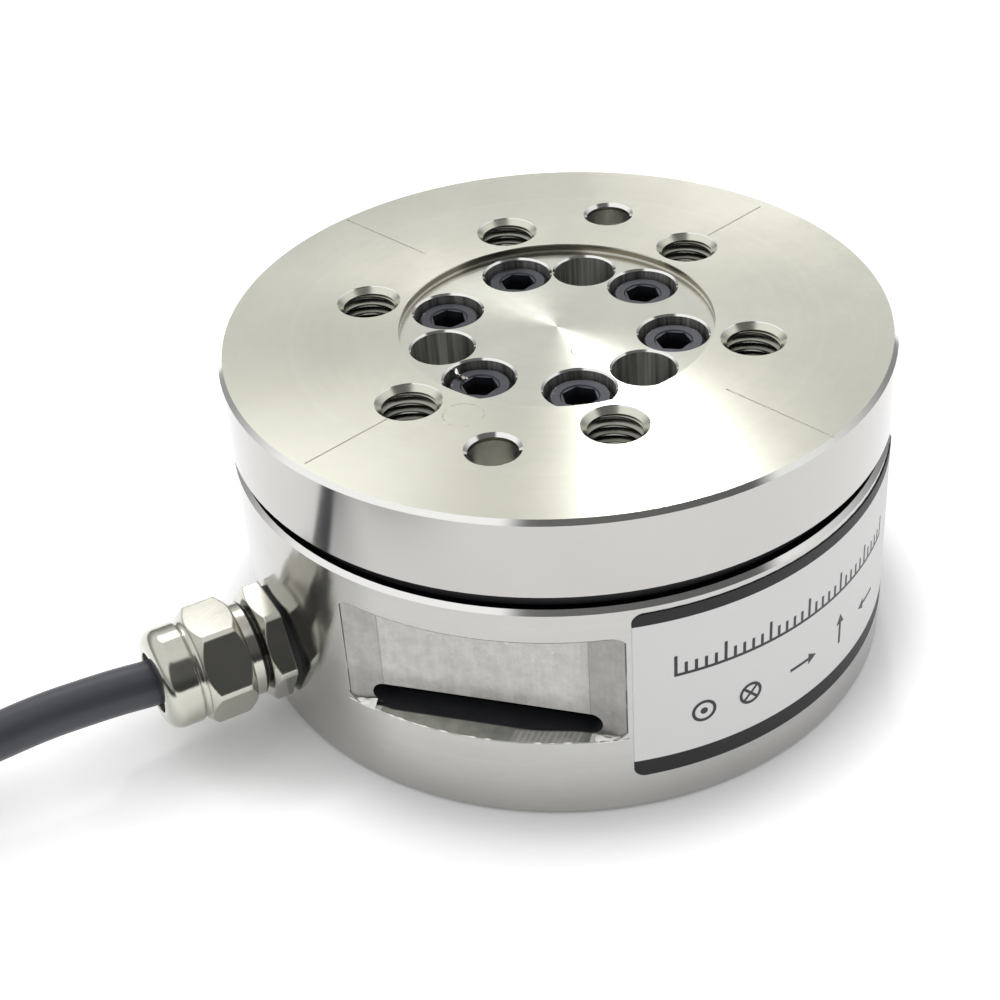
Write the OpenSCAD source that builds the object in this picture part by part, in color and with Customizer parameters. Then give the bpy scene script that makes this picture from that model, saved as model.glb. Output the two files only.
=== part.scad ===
// Force torque sensor for a robot wrist: a tool flange screwed to a one-piece
// spring body with strain gauges and a small amplifier inside, and a lead that
// leaves through a cable gland and ends in a round connector.
// Millimetres, +Z up. The origin is the centre of the base. +X and +Y run along
// the axis lines scribed on the flange.

/* [Tool flange] */
// Diameter of the tool flange
flange_d = 107; // [105:0.5:112]
// Thickness of the tool flange
flange_t = 13.7; // [13:0.1:16]
// Chamfer on the outer edges of the flange and the body
edge_c = 0.7; // [0.4:0.1:1]
// Diameter of the turned recess in the middle of the flange
recess_d = 50.3; // [49.6:0.1:51]
// Depth of the turned recess
recess_depth = 1.35; // [0.8:0.05:1.6]
// Pitch circle of the tapped holes for the tool
tap_pcd = 63; // [62:0.5:64]
// Nominal size of those threads, drawn as a plain bore
tap_d = 10; // [8:0.5:10.5]
// Depth of the tapped holes
tap_depth = 9.6; // [8:0.2:10]
// Pitch circle of the two tool dowel holes
dowel_pcd = 73.5; // [72:0.5:76]
// Diameter of the tool dowel holes
dowel_d = 7.5; // [6:0.5:8]
// Depth of the tool dowel holes
dowel_depth = 10; // [8:0.5:11]
// Chamfer at the mouth of a dowel hole
dowel_c = 0.55; // [0.3:0.05:0.8]
// Width of a scribed axis line
scribe_w = 0.25; // [0.2:0.05:0.4]
// Depth of a scribed axis line
scribe_depth = 0.15; // [0.1:0.05:0.3]

/* [Flange screws and drive pins] */
// Pitch circle of the flange screws and the drive pins
screw_pcd = 37.3; // [36.8:0.1:37.8]
// Thread size of the flange screws
screw_d = 6; // [5:0.5:6.2]
// Length of a flange screw under its head
screw_len = 16; // [14:0.5:17]
// Diameter of a flange screw's head
head_d = 10; // [9:0.1:10.2]
// Height of a flange screw's head
head_h = 6; // [5:0.1:6.4]
// Width across flats of the hexagon socket
socket_af = 5; // [4:0.5:5.5]
// Depth of the hexagon socket
socket_depth = 3; // [2:0.5:3.5]
// How far the heads lie below the floor of the recess
head_sunk = 1.3; // [0.8:0.1:1.5]
// Gap between a head and its counterbore
head_gap = 0.55; // [0.4:0.05:0.6]
// Diameter of the drive pins and their holes
pin_d = 10; // [9:0.1:10.2]
// Length of a drive pin
pin_len = 12; // [11:0.5:12.5]
// Depth of the drive pin holes in the hub
pin_seat = 8; // [7.5:0.5:10]

/* [Spring body] */
// How far the body's wall lies inside the flange's
body_inset = 0.25; // [0.2:0.05:0.5]
// Height of the body
body_h = 39.4; // [39:0.1:44]
// Gap between the body and the flange
seal_gap = 2.2; // [1.8:0.1:3]
// Number of beams, each behind a side pocket
beam_n = 3; // [3:1:3]
// Direction of the first beam
beam_angle = 210; // [208:1:212]
// Height of the pocket's ledge above the base
pocket_z = 14.5; // [14:0.1:15]
// Height of a pocket
pocket_h = 19.4; // [18:0.1:20]
// Depth of a pocket at its middle
pocket_depth = 4.75; // [4.2:0.05:5.2]
// Width of the deepest part of a pocket
pocket_floor_w = 32; // [28:1:34]
// Radius of a pocket's corners
pocket_r = 2.6; // [0.8:0.1:3]
// Length of the slot at the foot of a pocket
slot_len = 35.7; // [33:0.1:36]
// Height of the slot
slot_h = 3.6; // [3:0.1:4.4]
// Thickness of the web between a pocket and the cavity
web_t = 3.4; // [2.6:0.1:4]
// Thickness of the rim
rim_t = 12.25; // [11.5:0.05:12.8]
// Radius of the hub
hub_r = 27; // [26.4:0.1:28]
// Height of the hub's underside above the base
hub_z = 19; // [18.4:0.1:19.6]
// Bore in the underside of the hub
hub_bore_d = 16; // [12:0.5:20]
// Depth of that bore
hub_bore_depth = 12; // [8:0.5:14]
// Width of a beam
beam_w = 14; // [12:0.5:16]
// Height of a beam
beam_h = 13; // [11:0.1:13.6]
// Height of a beam's underside above the base
beam_z = 20; // [19.8:0.1:20.6]
// Width of the ledge that carries the board and the cover
ledge_w = 7; // [6.8:0.1:8]
// Height of the ledge above the base
ledge_z = 8; // [7.8:0.1:8.3]

/* [Base] */
// Distance of the base's mounting holes from the body's wall
base_hole_in = 6.25; // [6:0.05:6.5]
// Nominal size of those threads, drawn as a plain bore
base_tap_d = 8; // [6:0.5:8]
// Depth of those holes
base_tap_depth = 12; // [10:0.5:13]
// Diameter of the two base dowel holes
base_dowel_d = 6; // [5:0.5:7]
// Depth of the base dowel holes
base_dowel_depth = 9; // [7:0.5:10]
// Width of the seat of the base cover
cover_seat_w = 7; // [6.8:0.1:7.2]
// Thickness of the base cover
cover_t = 3; // [2.8:0.1:3.4]
// How far the cover lies above the resting face
cover_sunk = 0.2; // [0.1:0.05:0.4]
// Distance of the cover screws from the inner edge of their seat
cover_screw_in = 3.7; // [3.6:0.05:3.9]
// Thread size of the cover screws
cover_screw_d = 3; // [2.5:0.1:3]
// Length of a cover screw, head included
cover_screw_len = 6.4; // [6:0.1:6.6]
// Head diameter of a cover screw
cover_head_d = 5.6; // [5:0.1:6]
// Thickness of the cover's sealing ring
ring_t = 1; // [0.8:0.05:1.1]
// Distance of the sealing ring's middle from that edge
ring_in = 1.1; // [1:0.05:1.2]

/* [Board] */
// Gap round the amplifier board
board_gap = 2.5; // [1.5:0.25:3]
// Thickness of the board
board_t = 1.6; // [1.2:0.1:2]
// Height of the pillars under the board
pillar_h = 3; // [2.6:0.1:3.2]
// Diameter of a pillar
pillar_d = 4.6; // [4:0.1:5]
// Distance of the pillars from the inner edge of the ledge
pillar_in = 2.6; // [2.4:0.1:2.8]
// Thread size of the pillars and the board screws
board_screw_d = 2.5; // [2:0.1:2.6]

/* [Cable gland] */
// Direction of the gland
gland_angle = 164; // [163:0.1:165]
// Height of the gland's axis
gland_z = 14; // [14:0.1:14.6]
// Width across flats of both hexagons
gland_af = 17; // [16:0.1:17.4]
// Width across the turned corners of both hexagons
gland_ac = 19.1; // [18.9:0.1:19.4]
// Thread size of the gland's shank
gland_thread_d = 15.2; // [14:0.1:15.4]
// Length of the shank in the wall
gland_shank = 9; // [7:0.5:11]
// Length of the body's hexagon
gland_hex_len = 3.5; // [3:0.1:4.5]
// Thickness of the sealing washer at its thinnest
washer_t = 0.45; // [0.4:0.05:1]
// Gap between the two hexagon pieces
nut_gap = 0.6; // [0.5:0.1:1]
// Diameter of the nut's turned collar
collar_d = 15.4; // [15:0.1:16]
// Length of that collar
collar_len = 2.2; // [1.5:0.1:3]
// Length of the nut's hexagon
nut_hex_len = 7.5; // [7:0.1:9]
// Diameter of the nut's nose
nose_d = 16.4; // [16:0.1:16.8]
// Length of the nut's nose
nose_len = 6.5; // [6:0.1:8]
// Radius on the end of the nose
nose_r = 2.5; // [2:0.1:3]
// Diameter of the neck that the nut screws on
neck_d = 12.6; // [12.2:0.1:12.8]
// Length of that neck
neck_len = 5.2; // [4:0.1:6]

/* [Label] */
// Direction in which the label begins
label_a0 = 234.8; // [234.6:0.1:240]
// Direction in which it ends
label_a1 = 305; // [295:0.1:305.2]
// Height of its lower edge above the base
label_z0 = 6.7; // [4:0.1:10]
// Height of its upper edge above the base
label_z1 = 37.7; // [30:0.1:38.5]
// Radius of its corners
label_r = 1.5; // [0.5:0.1:3]

/* [Cable] */
// Diameter of the cable
cable_d = 7.3; // [6.5:0.1:7.4]
// Middle radius of the coil's innermost turn
coil_in_r = 29; // [29:0.5:32]
// Distance from one turn of the coil to the next
coil_pitch = 7.35; // [7.35:0.05:7.5]
// Turns in each of the coil's two layers
coil_turns = 4.42; // [4.42:0.01:4.42]
// Width of a coil tie
tie_w = 5; // [4:0.5:8]
// Thickness of a coil tie
tie_t = 1; // [0.8:0.05:1]

/* [Connector] */
// Outer diameter of the coupling ring
coupling_d = 19; // [18.4:0.1:19]
// Length of the coupling ring
coupling_len = 14; // [12:0.5:16]
// Diameter of the connector's shell
shell_d = 15.6; // [15:0.1:16]
// Length of the shell
shell_len = 26; // [24:0.5:30]
// Wall of the shell round its socket
shell_wall = 1.2; // [0.8:0.1:1.6]
// Depth of the socket, with the insert at its foot
socket_deep = 18; // [14:0.5:20]
// Thickness of the insert
insert_t = 9; // [6:0.5:10]
// Length of a contact
contact_len = 12.5; // [10:0.5:13]
// Diameter of a contact
contact_d = 1.3; // [1:0.1:1.6]
// Length of the clamp sleeve behind the shell
back_len = 17; // [14:0.5:20]
// Number of contacts round the middle one
pin_n = 6; // [4:1:7]

/* [Hidden] */

$fn = 96;
// How far a cutting shape reaches past the face it cuts
over = 1;
// Clearance of a thread, a pressed pin and a seated cover
thread_gap = 0.03;
pin_gap = 0.02;
seat_gap = 0.1;

flange_r = flange_d / 2;
body_r = flange_r - body_inset;
rim_in_r = body_r - rim_t;
ledge_r = rim_in_r - ledge_w;
flange_z = body_h + seal_gap;
flange_top = flange_z + flange_t;
recess_z = flange_top - recess_depth;
head_top = recess_z - head_sunk;
head_z = head_top - head_h;
counterbore_d = head_d + 2 * head_gap;
screw_hole_d = screw_d + 0.6;
screw_c = 0.3;
tap_n = 6;
tap_c = 0.15;
drill_cone = 2.4;
screw_n = 6;
// The six flange screws lie in pairs, each pair this far either side of a beam
screw_spread = 25;
dowel_angle = 30;
// Each scribed line: direction, inner radius, gap to the flange's edge, offset to its left
scribes = [[-0.2, 36.9, 2.6, 0], [91.5, 32.4, 1.4, -2.05], [179.1, 36.7, 1.4, 1.63],
           [270.8, 33.4, 0.5, 1.39]];

pocket_floor = body_r - pocket_depth;
web_in = pocket_floor - web_t;
// The pocket's ends run out on the round wall a little past the deepest part
pocket_end_rise = 0.06;
relief_rise = 2;
pocket_half = sqrt(pow(body_r, 2) - pow(pocket_floor + pocket_end_rise, 2));
// The cutter runs past the ends, on the same slant
pocket_past = 3;
pocket_past_rise = pocket_end_rise * (pocket_half + pocket_past - pocket_floor_w / 2)
    / (pocket_half - pocket_floor_w / 2);
// Along each beam: a gauge, a row of solder tabs in the middle, a gauge
gauge_w = 5;
gauge_t = 0.15;
gauge_edge = 1.3;
tab_l = 2.2;
tab_w = 6;
tab_t = 0.4;
tab_gap = 0.7;
beam_len = web_in - hub_r;
gauge_len = (beam_len - tab_l) / 2 - tab_gap - gauge_edge;
gauge_in_r = hub_r + gauge_edge + gauge_len / 2;
gauge_out_r = web_in - gauge_edge - gauge_len / 2;

base_pcd = 2 * (body_r - base_hole_in);
cover_seat_r = ledge_r + cover_seat_w;
cover_pcd = 2 * (ledge_r + cover_screw_in);
ring_r = ledge_r + ring_in;
cover_top = cover_sunk + cover_t;
board_d = 2 * (rim_in_r - board_gap);
pillar_pcd = 2 * (ledge_r + pillar_in);
board_z = ledge_z + pillar_h;
board_top = board_z + board_t;
stud_len = 3;
// Parts on the board: a large and a small chip at each place, a round capacitor, the header
chip_l = 9;
chip_w = 7;
chip_h = 1.6;
small_l = 4;
small_w = 5;
small_h = 1.4;
can_d = 5;
can_h = 4.2;
header_l = 5;
header_w = 9;
header_h = 4;
// Their places inwards from the rim
header_r = rim_in_r - 13;
small_at = header_r - small_l - 1;
chip_at = small_at - chip_l - 2;
can_at = header_r - 9;

wall_back = body_r - sqrt(pow(body_r, 2) - pow(gland_ac / 2, 2));
hex_s = body_r + washer_t;
neck_s = hex_s + gland_hex_len;
nut_s = neck_s + nut_gap;
nut_hex_s = nut_s + collar_len;
nose_s = nut_hex_s + nut_hex_len;
mouth_s = nose_s + nose_len;
seal_s = neck_s + neck_len;
seal_end_s = mouth_s - 1;
gland_bore_d = cable_d + 1.2;
nut_bore_d = neck_d + 0.2;
seal_d = cable_d + 2.4;
mouth_d = seal_d + 0.2;
hex_c = 1.2;
tail_end_s = rim_in_r + 0.6;
// The lead changes from its tail to its free length inside the neck
splice_s = neck_s + 2.4;
wire_d = 1.1;

label_t = 0.14;
glue_t = 0.03;

// The coil lies flat on its ties: two layers, wound inwards and then outwards
mouth_x = mouth_s * cos(gland_angle);
mouth_y = mouth_s * sin(gland_angle);
coil_centre = [mouth_x - 124.9, mouth_y - 19.4];
coil_z = tie_t;
coil_out_r = coil_in_r + coil_turns * coil_pitch;
coil_slack = 0.1;
coil_h = cable_d + coil_pitch;
tie_angles = [10, 190];
// Headings in which the lead comes to the coil and leaves it, and how far from
// the point of tangency its straight runs meet the coil
coil_in = 160;
coil_away = 180;
coil_meet = 8;
low_z = coil_z + cable_d / 2;
high_z = low_z + coil_pitch;
coupling_s = 34;
cable_seat = 10;
contact_foot = 1;
connector_angle = coil_away;
connector_at = [coil_centre[0] - 46, coil_centre[1] + coil_out_r, coupling_d / 2];
// The lead's route from the gland's mouth to the coil: how far on in X and Y, and how
// high between the coil's lower layer (0) and the gland (1)
run_steps = [[0, 0.2, 1], [-4.9, 2.2, 1.01], [-9.9, 4.1, 1.01], [-15.9, 6.3, 0.99],
             [-22.2, 8.5, 0.914], [-28.9, 11, 0.797], [-35.9, 13.5, 0.636], [-43.9, 16.4, 0.444],
             [-51.9, 19.4, 0.262], [-59.9, 22.3, 0.123], [-68.9, 25.6, 0.027], [-78.9, 29.3, 0.005],
             [-87.9, 32.6, 0]];
run_points = [for (p = run_steps)
    [mouth_x + p[0], mouth_y + p[1], low_z + p[2] * (gland_z - low_z)]];
// From the coil to the connector: how far before the connector, and how high between
// the connector (0) and the coil's upper layer (1)
tail_steps = [[31, 1], [23, 0.98], [16, 0.85], [8, 0.26]];
tail_points = [for (p = tail_steps)
    connector_at + [p[0], 0, p[1] * (high_z - coupling_d / 2)]];

// ---- helpers ----

// A turned piece from [radius, height] points
module turned(points, sides = 96) {
    rotate_extrude($fn = sides) polygon(points);
}

// Copies at equal angles on a circle
module ring_of(count, radius, first = 0) {
    for (i = [0 : count - 1])
        rotate(first + i * 360 / count) translate([radius, 0, 0]) children();
}

// A rectangle with round corners, centred
module rounded_rect(w, h, r) {
    square([w - 2 * r, h], center = true);
    square([w, h - 2 * r], center = true);
    for (sx = [-1, 1], sy = [-1, 1])
        translate([sx * (w / 2 - r), sy * (h / 2 - r)]) circle(r, $fn = 32);
}

// Z becomes the way out of the gland, measured from the sensor's axis
module on_gland() {
    rotate(gland_angle) translate([0, 0, gland_z]) rotate([0, 90, 0]) children();
}

// Z becomes the connector's axis, measured from the back of its sleeve
module on_connector() {
    translate(connector_at) rotate(connector_angle) rotate([0, 90, 0]) children();
}

// Children are placed on each beam, with +X along it
module each_beam() {
    for (i = [0 : beam_n - 1]) rotate(beam_angle + i * 360 / beam_n) children();
}

// A hexagon bar with its corners turned down and its ends chamfered
module hex_bar(len, c0, c1, roll) {
    r = gland_ac / 2;
    flat = gland_af / 2 - 0.1;
    intersection() {
        rotate(30 + roll) cylinder(d = gland_af / cos(30), h = len, $fn = 6);
        turned([[0, 0], [c0 > 0 ? flat : r, 0], [r, c0], [r, len - c1], [flat, len], [0, len]]);
    }
}

// A point on a smooth curve through p1 and p2
function curve(p0, p1, p2, p3, t) =
    0.5 * (2 * p1 + (p2 - p0) * t + (2 * p0 - 5 * p1 + 4 * p2 - p3) * t * t
        + (3 * p1 - p0 - 3 * p2 + p3) * t * t * t);

// The smooth curve through all the points, with steps rings for each stretch
function smooth(p, steps) = let (n = len(p)) [
    for (i = [0 : n - 2], k = [0 : steps - 1])
        curve(p[max(i - 1, 0)], p[i], p[i + 1], p[min(i + 2, n - 1)], k / steps),
    p[n - 1]
];

function unit(v) = v / norm(v);

// A tube of diameter d swept along a path
module tube(path, d, sides = 12) {
    n = len(path);
    points = [for (i = [0 : n - 1])
        let (ahead = unit(path[min(i + 1, n - 1)] - path[max(i - 1, 0)]),
             side = unit(cross(ahead, [0, 0, 1])),
             up = cross(side, ahead))
        for (k = [0 : sides - 1])
            path[i] + d / 2 * (cos(360 * k / sides) * side + sin(360 * k / sides) * up)];
    walls = [for (i = [0 : n - 2], k = [0 : sides - 1])
        let (a = i * sides + k, b = i * sides + (k + 1) % sides)
        [a, b, b + sides, a + sides]];
    start = [for (k = [sides - 1 : -1 : 0]) k];
    end = [for (k = [0 : sides - 1]) (n - 1) * sides + k];
    polyhedron(points, concat([start], walls, [end]));
}

// ---- flange ----

// A blind hole from the top of the flange, with a chamfered mouth
module top_hole(d, c, depth) {
    turned([[0, -depth], [d / 2, -depth], [d / 2, -c], [d / 2 + c, 0], [d / 2 + c, over], [0, over]], 64);
}

module tool_flange() color("lightgray") difference() {
    translate([0, 0, flange_z])
        turned([[0, 0], [flange_r - edge_c, 0], [flange_r, edge_c], [flange_r, flange_t - edge_c],
                [flange_r - edge_c, flange_t], [0, flange_t]], 180);
    translate([0, 0, recess_z]) cylinder(d = recess_d, h = recess_depth + over, $fn = 180);
    ring_of(tap_n, tap_pcd / 2) translate([0, 0, flange_top]) {
        top_hole(tap_d, tap_c, tap_depth);
        translate([0, 0, -tap_depth - drill_cone + 0.01])
            cylinder(d1 = 0, d2 = tap_d - 1.6, h = drill_cone, $fn = 48);
    }
    ring_of(2, dowel_pcd / 2, dowel_angle) translate([0, 0, flange_top])
        top_hole(dowel_d, dowel_c, dowel_depth);
    each_screw() {
        translate([0, 0, head_z]) top_hole_up(counterbore_d, screw_c, recess_z - head_z);
        translate([0, 0, flange_z - over]) cylinder(d = screw_hole_d, h = flange_t, $fn = 48);
    }
    each_pin() translate([0, 0, flange_z]) top_hole_up(pin_d, screw_c, recess_z - flange_z, over);
    for (s = scribes)
        rotate(s[0]) translate([s[1], s[3] - scribe_w / 2, flange_top - scribe_depth])
            cube([flange_r - s[2] - s[1], scribe_w, scribe_depth + over]);
}

// A hole that rises from its own floor to a chamfered mouth
module top_hole_up(d, c, h, below = 0) {
    turned([[0, -below], [d / 2, -below], [d / 2, h - c], [d / 2 + c, h], [d / 2 + c, h + recess_depth + over],
            [0, h + recess_depth + over]], 64);
}

module each_screw() {
    for (i = [0 : 2], side = [-1, 1])
        rotate(beam_angle + i * 120 + side * screw_spread) translate([screw_pcd / 2, 0, 0]) children();
}

module each_pin() {
    ring_of(3, screw_pcd / 2, beam_angle + 60) children();
}

module flange_screws() color("#202024") each_screw() translate([0, 0, head_z]) difference() {
    union() {
        turned([[0, 0], [head_d / 2, 0], [head_d / 2, head_h - 0.5], [head_d / 2 - 0.5, head_h],
                [0, head_h]], 64);
        translate([0, 0, -screw_len])
            turned([[0, 0], [screw_d / 2 - 0.6, 0], [screw_d / 2, 0.6], [screw_d / 2, screw_len + 0.1],
                    [0, screw_len + 0.1]], 48);
    }
    translate([0, 0, head_h - socket_depth])
        cylinder(d = socket_af / cos(30), h = socket_depth + over, $fn = 6);
    translate([0, 0, head_h - 0.2])
        cylinder(d1 = socket_af * 1.15, d2 = socket_af * 1.25 + 0.4, h = 0.4, $fn = 48);
}

module drive_pins() color("silver") each_pin() translate([0, 0, flange_z - pin_seat])
    turned([[0, 0], [pin_d / 2 - pin_gap - 0.8, 0], [pin_d / 2 - pin_gap, 0.8],
            [pin_d / 2 - pin_gap, pin_len - 0.8], [pin_d / 2 - pin_gap - 0.8, pin_len], [0, pin_len]], 64);

module dust_seal() color("#151518") translate([0, 0, body_h]) difference() {
    cylinder(r = body_r - 1.8, h = seal_gap, $fn = 180);
    translate([0, 0, -over]) cylinder(r = body_r - 7.8, h = seal_gap + 2 * over, $fn = 180);
}

// ---- spring body ----

// The rim and the base ring, with the cavity turned out of them
module rim() {
    difference() {
        turned([[ledge_r, 0], [body_r - edge_c, 0], [body_r, edge_c], [body_r, body_h - edge_c],
                [body_r - edge_c, body_h], [ledge_r, body_h]], 180);
        translate([0, 0, ledge_z]) cylinder(r = rim_in_r, h = body_h, $fn = 180);
        translate([0, 0, -over]) cylinder(r = cover_seat_r, h = cover_top + over, $fn = 180);
        each_beam() relief();
    }
}

// The space behind a web, under the rim's top
module relief() {
    foot = ledge_z + relief_rise;
    translate([hub_r + over, -slot_len / 2, foot])
        cube([web_in - hub_r - over, slot_len, pocket_z + pocket_h + relief_rise - foot]);
}

// The side pocket, cut in from the round wall
module pocket() {
    half = pocket_floor_w / 2;
    far = pocket_half + pocket_past;
    intersection() {
        translate([0, 0, pocket_z - over]) linear_extrude(pocket_h + 2 * over)
            polygon([[pocket_floor, -half], [pocket_floor, half], [pocket_floor + pocket_past_rise, far],
                     [body_r + over, far], [body_r + over, -far], [pocket_floor + pocket_past_rise, -far]]);
        translate([body_r / 2, 0, pocket_z + pocket_h / 2]) rotate([90, 0, 90])
            linear_extrude(body_r) rounded_rect(2 * pocket_half + 0.5, pocket_h, pocket_r);
    }
}

// The slot with round ends at the foot of a pocket
module slot() {
    translate([web_in - over, 0, pocket_z + slot_h / 2]) rotate([90, 0, 90])
        linear_extrude(web_t + 2 * over) {
            square([slot_len - slot_h, slot_h], center = true);
            for (side = [-1, 1]) translate([side * (slot_len - slot_h) / 2, 0]) circle(d = slot_h, $fn = 32);
        }
}

module hub() {
    translate([0, 0, hub_z]) turned([[0, 0], [hub_r - 1, 0], [hub_r, 1], [hub_r, flange_z - hub_z],
                                     [0, flange_z - hub_z]], 180);
}

module beam() {
    translate([hub_r - 2, -beam_w / 2, beam_z]) cube([web_in - hub_r + 2.5, beam_w, beam_h]);
}

module spring_body() color("silver") difference() {
    union() {
        rim();
        hub();
        each_beam() beam();
    }
    each_beam() {
        pocket();
        slot();
    }
    each_screw() translate([0, 0, head_z - screw_len - 1.5])
        cylinder(d = screw_d + 2 * thread_gap, h = body_h, $fn = 48);
    each_pin() translate([0, 0, flange_z - pin_seat]) cylinder(d = pin_d, h = pin_seat + over, $fn = 64);
    translate([0, 0, hub_z - over]) cylinder(d = hub_bore_d, h = hub_bore_depth + over, $fn = 64);
    on_gland() translate([0, 0, rim_in_r - 2])
        cylinder(d = gland_thread_d + 2 * thread_gap, h = body_r, $fn = 64);
    ring_of(tap_n, base_pcd / 2) translate([0, 0, -over])
        cylinder(d = base_tap_d, h = base_tap_depth + over, $fn = 48);
    ring_of(2, base_pcd / 2, dowel_angle) translate([0, 0, -over])
        cylinder(d = base_dowel_d, h = base_dowel_depth + over, $fn = 48);
    ring_of(6, cover_pcd / 2, 30) cylinder(d = cover_screw_d + 2 * thread_gap,
        h = cover_sunk + cover_screw_len + 0.5, $fn = 32);
    ring_of(3, pillar_pcd / 2) translate([0, 0, ledge_z - stud_len])
        cylinder(d = board_screw_d + 2 * thread_gap, h = stud_len + over, $fn = 32);
}

// Children are placed at both gauge stations of a beam
module gauge_stations() {
    for (x = [gauge_in_r, gauge_out_r]) translate([x, 0, 0]) children();
}

module strain_gauges() color("goldenrod") each_beam() gauge_stations() {
    for (z = [beam_z - gauge_t, beam_z + beam_h])
        translate([-gauge_len / 2, -gauge_w / 2, z]) cube([gauge_len, gauge_w, gauge_t]);
    for (y = [-beam_w / 2 - gauge_t, beam_w / 2])
        translate([-gauge_len / 2, y, beam_z + (beam_h - gauge_w) / 2]) cube([gauge_len, gauge_t, gauge_w]);
}

module solder_tabs() color("peru") each_beam()
    for (z = [beam_z - tab_t, beam_z + beam_h])
        translate([(hub_r + web_in - tab_l) / 2, -tab_w / 2, z]) cube([tab_l, tab_w, tab_t]);

// ---- base and board ----

module base_cover() color("gray") difference() {
    translate([0, 0, cover_sunk]) cylinder(r = cover_seat_r - seat_gap, h = cover_t, $fn = 180);
    ring_of(6, cover_pcd / 2, 30) cover_screw_cut();
    translate([0, 0, cover_top - ring_t]) difference() {
        cylinder(r = ring_r + ring_t / 2 + 0.05, h = ring_t + over, $fn = 180);
        translate([0, 0, -over]) cylinder(r = ring_r - ring_t / 2 - 0.05, h = ring_t + 3 * over, $fn = 180);
    }
}

// The countersunk hole for a cover screw
module cover_screw_cut() {
    r = cover_screw_d / 2 + seat_gap;
    big = cover_head_d / 2 + seat_gap;
    turned([[0, -over], [big, -over], [big, cover_sunk + 0.1], [r, cover_sunk + 0.1 + big - r],
            [r, cover_top + over], [0, cover_top + over]], 32);
}

module cover_screws() color("dimgray") ring_of(6, cover_pcd / 2, 30) translate([0, 0, cover_sunk + 0.1])
    difference() {
        turned([[0, 0], [cover_head_d / 2, 0], [cover_screw_d / 2, (cover_head_d - cover_screw_d) / 2],
                [cover_screw_d / 2, cover_screw_len], [0, cover_screw_len]], 32);
        translate([0, 0, -over]) cylinder(d = 2 / cos(30), h = 1.2 + over, $fn = 6);
    }

module cover_ring() color("#1a1a1c") translate([0, 0, cover_top - ring_t / 2])
    rotate_extrude($fn = 120) translate([ring_r, 0]) circle(d = ring_t, $fn = 24);

module amplifier_board() color("darkgreen") translate([0, 0, board_z]) difference() {
    cylinder(d = board_d, h = board_t, $fn = 120);
    translate([0, 0, -over]) {
        cylinder(d = hub_bore_d * 0.6, h = board_t + 2 * over, $fn = 48);
        ring_of(3, pillar_pcd / 2) cylinder(d = board_screw_d + 2 * seat_gap, h = board_t + 2 * over, $fn = 32);
    }
}

module board_chips() color("#1c1c1e") translate([0, 0, board_top]) {
    for (i = [0 : 2]) rotate(beam_angle + 60 + i * 120) {
        translate([chip_at, -chip_w / 2, 0]) cube([chip_l, chip_w, chip_h]);
        translate([small_at, -small_w / 2, 0]) cube([small_l, small_w, small_h]);
    }
    ring_of(3, can_at, beam_angle + 20) cylinder(d = can_d, h = can_h, $fn = 32);
}

module header_block() color("ivory") rotate(gland_angle) translate([header_r, -header_w / 2, board_top])
    cube([header_l, header_w, header_h]);

module board_pillars() color("gold") ring_of(3, pillar_pcd / 2) {
    difference() {
        translate([0, 0, ledge_z]) cylinder(d = pillar_d, h = pillar_h, $fn = 32);
        translate([0, 0, ledge_z + 0.3]) cylinder(d = board_screw_d, h = pillar_h, $fn = 32);
    }
    translate([0, 0, ledge_z - stud_len]) cylinder(d = board_screw_d, h = stud_len + 0.3, $fn = 32);
}

module board_screws() color("silver") ring_of(3, pillar_pcd / 2) difference() {
    union() {
        translate([0, 0, board_top]) cylinder(d = pillar_d - 0.2, h = 1.7, $fn = 32);
        translate([0, 0, ledge_z + 0.6])
            cylinder(d = board_screw_d - 2 * pin_gap, h = board_top - ledge_z, $fn = 32);
    }
    translate([0, 0, board_top + 0.7]) cylinder(d = 2 / cos(30) * 0.75, h = 1.7, $fn = 6);
}

// The end of the lead inside the body, and its wires to the header
module lead_tail() color("#303136") on_gland() {
    translate([0, 0, tail_end_s]) cylinder(d = cable_d, h = splice_s - tail_end_s, $fn = 48);
    for (y = [-1, 0, 1], x = [-1, 1])
        translate([x * wire_d * 0.73 - wire_d * 0.55, y * wire_d * 2.2, header_r + header_l])
            cylinder(d = wire_d, h = tail_end_s - header_r - header_l, $fn = 16);
}

// ---- gland ----

module gland_washer() color("#18181a") difference() {
    on_gland() difference() {
        cylinder(d = gland_af - 0.2, h = hex_s, $fn = 96);
        translate([0, 0, -over]) cylinder(d = gland_thread_d + 2 * thread_gap, h = hex_s + 2 * over, $fn = 64);
        translate([0, 0, -over]) cylinder(d = gland_af, h = rim_in_r + over, $fn = 32);
    }
    cylinder(r = body_r, h = body_h, $fn = 180);
}

module gland_body() color("#d5d2c4") on_gland() difference() {
    union() {
        translate([0, 0, hex_s]) hex_bar(gland_hex_len, 0, 0.9, -1.2);
        translate([0, 0, hex_s - gland_shank]) cylinder(d = gland_thread_d, h = gland_shank + 0.1, $fn = 64);
        translate([0, 0, neck_s - 0.1]) cylinder(d = neck_d, h = neck_len + 0.1, $fn = 64);
    }
    translate([0, 0, hex_s - gland_shank - over])
        cylinder(d = gland_bore_d, h = gland_shank + gland_hex_len + neck_len + 2 * over, $fn = 64);
}

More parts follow.
